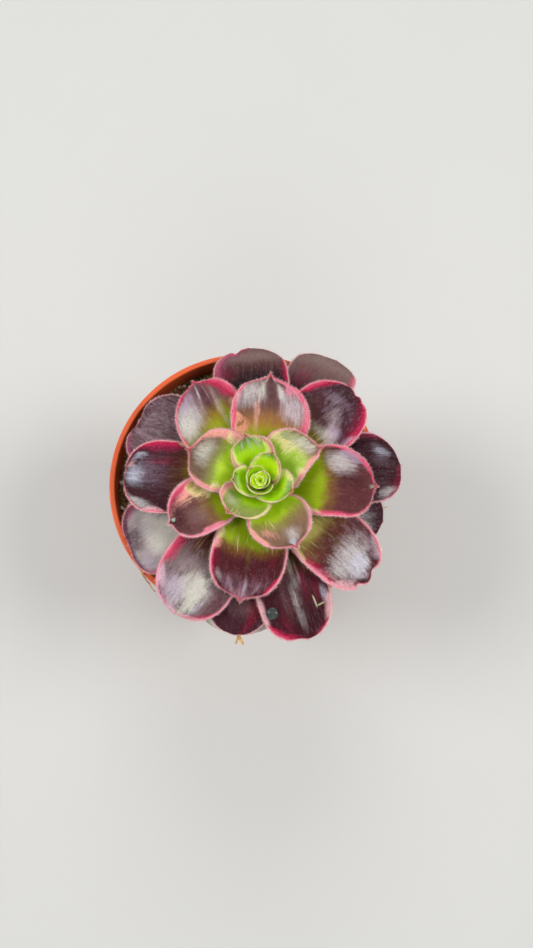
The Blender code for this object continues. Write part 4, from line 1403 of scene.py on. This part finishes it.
def pot_profile(rim_round):
    """The pot's section, from the middle of its floor over the rim to the middle of its underside."""
    inside, bore = FLOOR_THICK + GROOVE_DEPTH, RIM_RADIUS - RIM_WIDTH
    corners = [
        ((0, inside), 0.0),
        ((wall_radius(inside) - WALL - 1.0, inside), 0.0),
        ((wall_radius(inside + 1.0) - WALL, inside + 1.0), 1.5),
        ((wall_radius(SHOULDER) - WALL, SHOULDER), 1.0),
        ((bore, SHOULDER + 2.0), 1.0),
        ((bore, RIM_HEIGHT), rim_round),
        ((RIM_RADIUS, RIM_HEIGHT), rim_round),
        ((RIM_RADIUS - 0.3, SHOULDER + 0.4), 0.2),
        ((RIM_RADIUS - 0.7, SHOULDER), 0.3),
        ((wall_radius(SHOULDER), SHOULDER), 0.4),
        ((wall_radius(1.2), 1.2), 0.5),
        ((FOOT_RADIUS - 1.0, 0), 0.5),
        ((GROOVE_OUTER, 0), 0.0),
        ((GROOVE_OUTER - 0.6, GROOVE_DEPTH), 0.0),
        ((GROOVE_INNER + 0.6, GROOVE_DEPTH), 0.0),
        ((GROOVE_INNER, 0), 0.0),
        ((0, 0), 0.0),
    ]
    return rounded([corner for corner, _ in corners], {k: size for k, (_, size) in enumerate(corners)})


def pot_cutters():
    """The shapes to be cut out of the pot: its drain holes, and the channels under its foot."""
    cutters = []
    for k in range(DRAINS):
        turn = round_about(k, DRAINS, 0.5)
        bpy.ops.mesh.primitive_cylinder_add(
            vertices=32, radius=DRAIN_RADIUS * MM, depth=14 * MM,
            location=(DRAIN_CIRCLE * math.cos(turn) * MM, DRAIN_CIRCLE * math.sin(turn) * MM, 0),
        )
        cutters.append(bpy.context.object)
    for k in range(CHANNELS):
        turn = round_about(k, CHANNELS)
        bpy.ops.mesh.primitive_cube_add(
            size=1.0, rotation=(0, 0, turn),
            scale=(CHANNEL_LENGTH * MM, CHANNEL_WIDTH * MM, 2 * CHANNEL_DEPTH * MM),
            location=(CHANNEL_CIRCLE * math.cos(turn) * MM, CHANNEL_CIRCLE * math.sin(turn) * MM, 0),
        )
        cutters.append(bpy.context.object)
    return cutters


def pot_material(settings):
    """Moulded plastic: a fine grain, faint turning lines, scuffs, painted shade on its inner side, and a
    darker, browner and matter stretch down the inner wall towards the soil.
    """
    material, tree = new_material("pot_plastic", Specular_IOR_Level=0.5)
    place = object_place(tree)
    x, y, z = parts(place)
    fine = grain(place, 3.0, 2.0)
    cloud = grain(place, 0.12, 4.0, 0.6)
    lines = grain(stretch(place, 0.2, 0.2, 6.0), 1.0, 3.0)
    scuffs = smooth(0.62, 0.74, grain(stretch(place, 0.5, 0.5, 0.25), 1.0, 4.0, 0.65))
    # the inner side of the rim and wall, painted a darker red as shade
    inner = smooth(RIM_RADIUS - 1.9, RIM_RADIUS - 2.4, root_of(x * x + y * y))
    inner = inner * smooth(RIM_HEIGHT - 0.2, RIM_HEIGHT - 1.6, z)
    # darker, browner and matter down the inner wall towards the soil
    darker_towards_soil = inner * smooth(RIM_HEIGHT + 1.0, RIM_HEIGHT - 8.0, z + (cloud - 0.5) * 10.0)
    skin = tint(cloud, dimmed(settings.plastic, (0.84, 0.76, 0.7)), tuple(settings.plastic))
    skin = tint(inner * 0.5, skin, colour(128, 26, 4))
    skin = tint(darker_towards_soil * 0.45, skin, colour(62, 24, 10))
    skin = tint(scuffs * 0.14, skin, colour(226, 170, 140))
    rough = 0.36 + (cloud - 0.5) * 0.25 + darker_towards_soil * 0.4 + scuffs * 0.15
    return coat(material, skin, rough, (fine - 0.5) * 0.05 + (lines - 0.5) * 0.06)


def peat_material(name, settings, lightness=1.0):
    """Damp peat: dark, matt and crumbly, with lighter dry bits."""
    material, tree = new_material(name, Specular_IOR_Level=0.25)
    place = object_place(tree)
    fine = grain(place, 1.8, 4.0, 0.7)
    cloud = grain(place, 0.3, 3.0)
    dark, light = (dimmed(settings.peat, (share * lightness,) * 3) for share in (0.22, 1.0))
    skin = tint(smooth(0.3, 0.7, fine + (cloud - 0.5) * 0.5), dark, light)
    skin = tint(smooth(0.58, 0.68, grain(place, 0.9, 2.0)) * 0.7, skin, colour(206, 172, 120))
    return coat(material, skin, 0.8 + (cloud - 0.5) * 0.6, (fine - 0.5) * 0.5)


def simple_material(name, low, high, scale, rough=0.8, relief=0.1, **sockets):
    """A mottled material between two colours, with relief of its own grain."""
    material, tree = new_material(name, **sockets)
    speck = grain(object_place(tree), scale, 4.0, 0.6)
    skin = tint(smooth(0.3, 0.7, speck), low, high)
    return coat(material, skin, rough + (speck - 0.5) * 0.3, (speck - 0.5) * relief)


def strewn_points(value, reach):
    """Random points on the upward faces of the open soil, out to this distance from the pot's axis."""
    tree = value["soil"].tree
    up = parts(add(tree, "GeometryNodeInputNormal"))[2]
    x, y, _ = parts(position(tree))
    far = root_of(x * x + y * y)
    is_open = over(up, 0.6) * over(far, BARE_FROM * MM) * calc("LESS_THAN", far, reach * MM)
    inputs = {"Mesh": value["soil"], "Selection": is_open, "Density": value["density"], "Seed": value["seed"]}
    return add(tree, "GeometryNodeDistributePointsOnFaces", inputs, distribute_method="RANDOM")


def grit_tree():
    """The tree that strews irregular grains on the soil."""
    inputs = {GEOMETRY: "soil", FLOAT: "density, smallest, largest, sink", WHOLE: "seed"}
    tree, value, mesh = geometry_group("Grit", inputs)
    points = strewn_points(value, RIM_RADIUS)
    stone = add(tree, "GeometryNodeMeshIcoSphere", {"Radius": 0.5, "Subdivisions": 2})
    seed, smallest, largest = value["seed"], value["smallest"], value["largest"]
    turn = random_vector(tree, (0.0, 0.0, 0.0), (6.28, 6.28, 6.28), seed)
    squash = random_vector(tree, (0.6, 0.6, 0.45), (1.0, 1.0, 0.9), seed)
    size = smallest + (largest - smallest) * random_number(tree, 0.0, 1.0, seed + 7.0) ** 2.0
    stones = copies(points, stone, turn, scaled(squash, size))
    stones = shaken(stones, 1.3, (smallest + largest) * 0.35, -value["sink"])
    plug(with_material(stones, value["material"], False), mesh)
    return tree


def fibre_tree():
    """The tree that lays short, bent fibres on the soil."""
    inputs = {GEOMETRY: "soil", FLOAT: "density, length, radius", WHOLE: "seed"}
    tree, value, mesh = geometry_group("Fibres", inputs)
    points = strewn_points(value, BARE_TO)
    half = value["length"] * 0.5
    bow = add(tree, "GeometryNodeCurveQuadraticBezier", {
        "Resolution": 7,
        "Start": vector(tree, -half, 0.0, 0.0),
        "Middle": vector(tree, 0.0, half * 0.7, half * 0.5),
        "End": vector(tree, half, 0.0, 0.0),
    })
    turn = random_vector(tree, (-0.35, -0.35, 0.0), (0.35, 0.35, 6.28), value["seed"])
    size = random_number(tree, 0.4, 1.2, value["seed"])
    lines = copies(points, bow, turn, vector(tree, size, size, size))
    lines = shaken(lines, 0.4, 2.0 * MM, 0.2 * MM)
    ring = add(tree, "GeometryNodeCurvePrimitiveCircle", {"Resolution": 4, "Radius": value["radius"]})
    inputs = {"Curve": lines, "Profile Curve": ring, "Fill Caps": True}
    plug(with_material(realised(add(tree, "GeometryNodeCurveToMesh", inputs)), value["material"]), mesh)
    return tree


def stem_tree():
    """The tree that makes the stem: a tapered core with the scars of fallen leaves in their spiral."""
    tree, value, mesh = geometry_group("Stem", {FLOAT: "radius, low, high, scar"})
    x, y, z = parts(position(tree))
    share = z + 0.5
    high, low = value["high"], value["low"]
    height = low + (high - low) * share
    below = (high - height) / (LEAF_PITCH * TAPER_AGE * MM)
    tip = TIP_RADIUS * MM
    radius = tip + (value["radius"] - tip) * least(most(below, 0.0), 1.0) ** 0.8
    ridge = grain(vector(tree, x * 2.0, y * 2.0, share * 26.0), 1.0, 3.0) - 0.5
    radius = radius * (1.0 + ridge * 0.16) * smooth(-0.02, 0.05, share)
    place = vector(tree, STEM_X * MM + x * radius, STEM_Y * MM + y * radius, height)
    core = move_to(cylinder(tree, 48, 90), place)

    index = add(tree, "GeometryNodeInputIndex")
    turn = index * math.radians(GOLDEN_ANGLE)
    off_axis = value["radius"] * 0.93
    places = vector(
        tree, STEM_X * MM + off_axis * cosine(turn), STEM_Y * MM + off_axis * sine(turn),
        high - SCAR_DEPTH * MM - index * LEAF_PITCH * MM,
    )
    points = move_to(add(tree, "GeometryNodePoints", {"Count": SCARS, "Radius": 1.0}), places)
    scar = add(tree, "GeometryNodeMeshUVSphere", {"Segments": 14, "Rings": 8, "Radius": value["scar"]})
    scars = copies(points, scar, vector(tree, 0.0, 0.0, turn), vector(tree, 0.3, 1.0, 0.42))
    both = add(tree, "GeometryNodeJoinGeometry", {0: scars})
    plug(core, both.socket.node.inputs[0])
    plug(with_material(both, value["material"]), mesh)
    return tree


def tube(points, radii, sides=10):
    """Points and faces of a closed tube along a line of points in millimetres."""
    made = []
    across = Vector((0.3, 0.5, 0.8))
    for k, point in enumerate(points):
        along = (points[min(k + 1, len(points) - 1)] - points[max(k - 1, 0)]).normalized()
        across = (across - along * across.dot(along)).normalized()
        other = along.cross(across)
        for j in range(sides):
            turn = round_about(j, sides)
            made.append(point + (across * math.cos(turn) + other * math.sin(turn)) * radii[k])
    faces = []
    for start in range(0, len(made) - sides, sides):
        for j in range(sides):
            a, b = start + j, start + (j + 1) % sides
            faces.append((a, b, b + sides, a + sides))
    faces.append(tuple(range(sides - 1, -1, -1)))
    faces.append(tuple(range(len(made) - sides, len(made))))
    return made, faces


def curved(points, steps=8):
    """A smooth line through points."""
    line = [Vector(p) for p in points]
    made = []
    for k in range(len(line) - 1):
        a, b, c, d = (line[min(max(k + j, 0), len(line) - 1)] for j in (-1, 0, 1, 2))
        square, cube = 2 * a - 5 * b + 4 * c - d, 3 * b - a - 3 * c + d
        for j in range(steps):
            t = j / steps
            made.append(0.5 * (2 * b + (c - a) * t + square * t**2 + cube * t**3))
    return made + [line[-1]]


def kink(place):
    """A push to the side that changes smoothly from place to place."""
    return Vector([noise.noise(place + Vector((shift, 0, 0))) for shift in (0, 20, 40)])


def make_root(root, material):
    """A root with small knots and kinks that thins to its end."""
    runs = [root.points]
    if root.fork:
        end, start = root.fork
        runs = [root.points[:end], [root.points[start], root.points[end]]]
    points, faces = [], []
    for number, run in enumerate(runs):
        line = curved(run)
        radii = []
        for k, point in enumerate(line):
            knot = noise.noise(point * 1.1 + Vector((number * 9.0, 0, 0)))
            radii.append(root.radius * (1.0 - 0.45 * k / (len(line) - 1)) * (1.0 + 0.3 * knot))
            line[k] = point + kink(point * 0.8) * root.radius * 0.35
        more, ends = tube(line, radii)
        faces += [tuple(i + len(points) for i in face) for face in ends]
        points += more
    return mesh_piece(root.name + "_fine", points, faces, material)


def soil_points_and_faces():
    """A body of peat that fills the pot, with a lumpy top."""
    bore = RIM_RADIUS - RIM_WIDTH
    reach, rings = bore - 0.15, 56
    profile = [(reach * k / rings, SOIL_TOP + SOIL_CROWN * (1 - (k / rings) ** 2)) for k in range(rings + 1)]
    turn_in = wall_radius(SOIL_LOW + 1.5)
    profile += [
        (reach, SHOULDER + 2.2),
        (wall_radius(SHOULDER) - WALL - 0.35, SHOULDER),
        (turn_in - WALL - 0.35, SOIL_LOW + 1.5),
        (turn_in - 3.0, SOIL_LOW),
        (0, SOIL_LOW),
    ]
    points, faces = turned_mesh(profile, 220)
    for k, (x, y, z) in enumerate(points):
        if z > SOIL_TOP - 0.01:
            here = Vector((x, y, 0))
            lump = noise.fractal(here * 0.28, 1.0, 2.0, 5)
            points[k] = (x, y, z + lump * 1.1 + noise.noise(here * 1.6) * 0.3 - 0.2)
    return points, faces


# Operators


class AEONIUM_OT_pot(bpy.types.Operator):
    """Build the pot"""

    bl_idname = "aeonium.pot"
    bl_label = "Pot"

    def execute(self, context):
        settings = context.scene.aeonium_pot
        points, faces = turned_mesh(pot_profile(settings.rim_round / MM), 192)
        pot = mesh_piece("pot_shell", points, faces, pot_material(settings))
        cutters = pot_cutters()
        for cutter in cutters:
            cut = pot.modifiers.new("cut", "BOOLEAN")
            cut.operation = "DIFFERENCE"
            cut.object = cutter
        graph = context.evaluated_depsgraph_get()
        pot.data = bpy.data.meshes.new_from_object(pot.evaluated_get(graph), depsgraph=graph)
        pot.modifiers.clear()
        for cutter in cutters:
            bpy.data.objects.remove(cutter)
        seat(pot, "pot_plastic", "pot")
        return {"FINISHED"}


class AEONIUM_OT_soil(bpy.types.Operator):
    """Fill the pot with peat, and strew grains, crumbs and fibres on it"""

    bl_idname = "aeonium.soil"
    bl_label = "Soil"

    def execute(self, context):
        settings = context.scene.aeonium_soil
        soil = mesh_piece("soil_bed", *soil_points_and_faces(), peat_material("peat", settings))
        per_area = 10000.0  # square centimetres in a square metre
        crumb = peat_material("peat_crumbs", settings, 2.2)
        white = simple_material(
            "perlite", colour(232, 222, 200), colour(255, 250, 238), 2.0, 0.9, 0.3, Specular_IOR_Level=0.3,
        )
        straw = simple_material("fibre_tan", colour(168, 128, 78), colour(226, 196, 146), 1.2)
        grit = grit_tree()
        strewn = (
            ("soil_crumbs", grit, settings.crumbs, 3, crumb, dict(smallest=0.35, largest=2.2, sink=0.0)),
            ("perlite_grains", grit, settings.grains, 12, white, dict(smallest=0.5, largest=2.6, sink=-0.3)),
            ("soil_fibres", fibre_tree(), settings.fibres, 5, straw, dict(length=7.0, radius=0.17)),
        )
        seat(soil, "peat", "soil")
        for name, tree, count, seed, material, sizes in strewn:
            values = {what: size * MM for what, size in sizes.items()}
            values.update({"density": count * per_area, "seed": seed, "material": material})
            seat(grow(name, tree, values, soil.data.copy()), "peat")
        return {"FINISHED"}


class AEONIUM_OT_stem(bpy.types.Operator):
    """Build the stem with its leaf scars"""

    bl_idname = "aeonium.stem"
    bl_label = "Stem"

    def execute(self, context):
        bark = simple_material("stem_bark", colour(96, 84, 44), colour(142, 130, 78), 0.9, relief=0.3)
        values = {
            "radius": STEM_RADIUS * MM,
            "low": STEM_LOW.z,
            "high": STEM_HIGH.z,
            "scar": SCAR_RADIUS * MM,
            "material": bark,
        }
        seat(grow("stem_core", stem_tree(), values), "stem_bark", "stem")
        return {"FINISHED"}


class AEONIUM_OT_leaves(bpy.types.Operator):
    """Grow the rosette: the bud, the leaves and the hairs on their margins"""

    bl_idname = "aeonium.leaves"
    bl_label = "Leaves"

    def execute(self, context):
        settings = context.scene.aeonium_leaves
        shared = (leaf_tree(), leaf_groups(), settings)
        blades = [make_leaf(leaf, f"blade_{leaf.age:02d}", *shared) for leaf in LEAVES]
        for leaf, blade in zip(LEAVES, blades):
            seat(blade, "leaf_green" if leaf.age < DARK_FROM else "leaf_dark", f"leaf_{leaf.age:02d}")
        seat(make_leaf(FADED_LEAF, "blade_faded", *shared), "leaf_faded", "faded_leaf")
        folded = [make_leaf(leaf, f"folded_{-leaf.age}", *shared) for leaf in BUD_LEAVES]
        seat(join("bud_leaves", folded), "leaf_green", "bud")
        tree = hair_tree()
        pale = simple_material("hair_pale", colour(240, 150, 166), colour(255, 232, 224), 0.5, 0.6, 0.0)
        fringes = []
        for leaf, blade in zip(LEAVES, blades):
            values = {
                "length": settings.hair_length * min(1.0, 0.45 + leaf.age / 20),
                "gap": settings.hair_gap,
                "seed": leaf.age,
                "material": pale,
            }
            fringes.append(grow(f"fringe_{leaf.age:02d}", tree, values, blade.data.copy()))
        seat(join("margin_hairs", fringes), "leaf_dark")
        return {"FINISHED"}


class AEONIUM_OT_drop(bpy.types.Operator):
    """Lay a drop of water on a lower leaf"""

    bl_idname = "aeonium.drop"
    bl_label = "Drop"

    def execute(self, context):
        blade = bpy.data.objects["blade_24"]
        found, foot, up, _ = blade.ray_cast(Vector((*DROP_PLACE, 200)) * MM, (0, 0, -1))
        if not found:
            raise RuntimeError("the drop's place is not over the leaf")
        side = up.cross(Vector((1, 0, 0))).normalized()
        other = side.cross(up)
        steps = 14
        profile = [(0, DROP_HEIGHT)]
        for k in range(1, steps):
            turn = math.pi * k / steps
            profile.append((DROP_RADIUS * math.sin(turn) ** 0.9, DROP_HEIGHT * (0.4 + 0.6 * math.cos(turn))))
        profile.append((0, -0.2 * DROP_HEIGHT))
        points, faces = turned_mesh(profile, 40)
        placed = [foot / MM + other * x + side * y + up * z for x, y, z in points]
        water, tree = new_material("water", Transmission_Weight=0.8, IOR=1.33, Specular_IOR_Level=0.5)
        cloud = grain(object_place(tree), 0.6, 2.0)
        # The grey-teal tint is a painted reflection of the surroundings; water itself has no colour
        coat(water, tint(cloud, colour(96, 118, 116), colour(160, 178, 172)), 0.03 + cloud * 0.05)
        seat(mesh_piece("water_drop", placed, faces, water), "leaf_dark")
        return {"FINISHED"}


class AEONIUM_OT_roots(bpy.types.Operator):
    """Lay the roots over the rim"""

    bl_idname = "aeonium.roots"
    bl_label = "Roots"

    def execute(self, context):
        tan = simple_material("root_tan", colour(176, 122, 62), colour(244, 196, 122), 0.9, 0.75, 0.12)
        for root in ROOTS:
            seat(make_root(root, tan), "root_tan", root.name)
        return {"FINISHED"}


LIGHTS = (
    # name, place and size in metres, power in watts
    ("left_light", (-0.85, 0.05, 0.95), 0.6, 7.4),
    ("right_light", (0.85, 0.0, 0.95), 0.6, 7.4),
    ("back_light", (0.0, 1.0, 0.95), 0.7, 4.5),
    ("front_light", (0.0, -1.1, 0.8), 0.7, 2.5),
)
LIT_PLACE = Vector((0, 0, 0.1))
FLOOR_REACH = 9000.0
CAMERA_X, CAMERA_Y, CAMERA_TILT = 8.35, -64.44, 14.0


class AEONIUM_OT_stage(bpy.types.Operator):
    """Set the floor, the lights and the camera"""

    bl_idname = "aeonium.stage"
    bl_label = "Stage"

    def execute(self, context):
        settings, scene = context.scene.aeonium_stage, context.scene
        material, tree = new_material("floor_pale", Specular_IOR_Level=0.2)
        cloud = grain(object_place(tree), 0.02, 3.0)
        skin = tint(cloud * 0.3, tuple(settings.floor), dimmed(settings.floor, (0.93,) * 3))
        coat(material, skin, 0.7 + (cloud - 0.5) * 0.2)
        corners = [(x * FLOOR_REACH, y * FLOOR_REACH, 0) for x, y in ((-1, -1), (1, -1), (1, 1), (-1, 1))]
        floor = mesh_piece("floor", corners, [(0, 1, 2, 3)], material, False)

        world = scene.world or bpy.data.worlds.new("World")
        scene.world = world
        world.use_nodes = True
        sky = world.node_tree.nodes["Background"]
        sky.inputs["Color"].default_value = (0.94, 0.97, 1.0, 1.0)
        sky.inputs["Strength"].default_value = 0.28
        for name, place, size, power in LIGHTS:
            light = bpy.data.lights.new(name, "AREA")
            light.shape = "DISK"
            light.size = size
            light.energy = power
            lamp = bpy.data.objects.new(name, light)
            lamp.location = place
            lamp.rotation_euler = (LIT_PLACE - Vector(place)).to_track_quat("-Z", "Y").to_euler()
            scene.collection.objects.link(lamp)

        camera = bpy.data.cameras.new("camera")
        camera.lens = settings.lens
        camera.sensor_width = 36.0
        camera.clip_start = 0.01
        eye = bpy.data.objects.new("camera", camera)
        eye.location = (CAMERA_X * MM, CAMERA_Y * MM, settings.height)
        eye.rotation_euler = (math.radians(CAMERA_TILT), 0, 0)
        scene.collection.objects.link(eye)
        scene.camera = eye
        scene.view_settings.view_transform = "Standard"
        return {"FINISHED"}


class AEONIUM_PT_panel(bpy.types.Panel):
    """The sizes and colours, and the steps that build the plant"""

    bl_label = "Aeonium"
    bl_idname = "AEONIUM_PT_panel"
    bl_space_type = "VIEW_3D"
    bl_region_type = "UI"
    bl_category = "Aeonium"

    def draw(self, context):
        for name, (kind, operators) in SECTIONS.items():
            box = self.layout.box()
            for setting in kind.__annotations__:
                box.prop(getattr(context.scene, name), setting)
            for operator in operators:
                box.operator(f"aeonium.{operator}")


# The settings on the scene, with the operators that go by them
SECTIONS = {
    "aeonium_pot": (PotSettings, ("pot",)),
    "aeonium_soil": (SoilSettings, ("soil",)),
    "aeonium_leaves": (LeafSettings, ("stem", "leaves", "drop", "roots")),
    "aeonium_stage": (StageSettings, ("stage",)),
}
CLASSES = (
    *(kind for kind, _ in SECTIONS.values()), AEONIUM_OT_pot, AEONIUM_OT_soil, AEONIUM_OT_stem,
    AEONIUM_OT_leaves, AEONIUM_OT_drop, AEONIUM_OT_roots, AEONIUM_OT_stage, AEONIUM_PT_panel,
)


def register():
    for item in CLASSES:
        bpy.utils.register_class(item)
    for name, (kind, _) in SECTIONS.items():
        setattr(bpy.types.Scene, name, bpy.props.PointerProperty(type=kind))


def unregister():
    for name in SECTIONS:
        delattr(bpy.types.Scene, name)
    for item in reversed(CLASSES):
        bpy.utils.unregister_class(item)


def main():
    register()
    bpy.ops.aeonium.stage()
    bpy.ops.aeonium.pot()
    bpy.ops.aeonium.soil()
    bpy.ops.aeonium.stem()
    bpy.ops.aeonium.leaves()
    bpy.ops.aeonium.drop()
    bpy.ops.aeonium.roots()


if __name__ == "__main__":
    main()
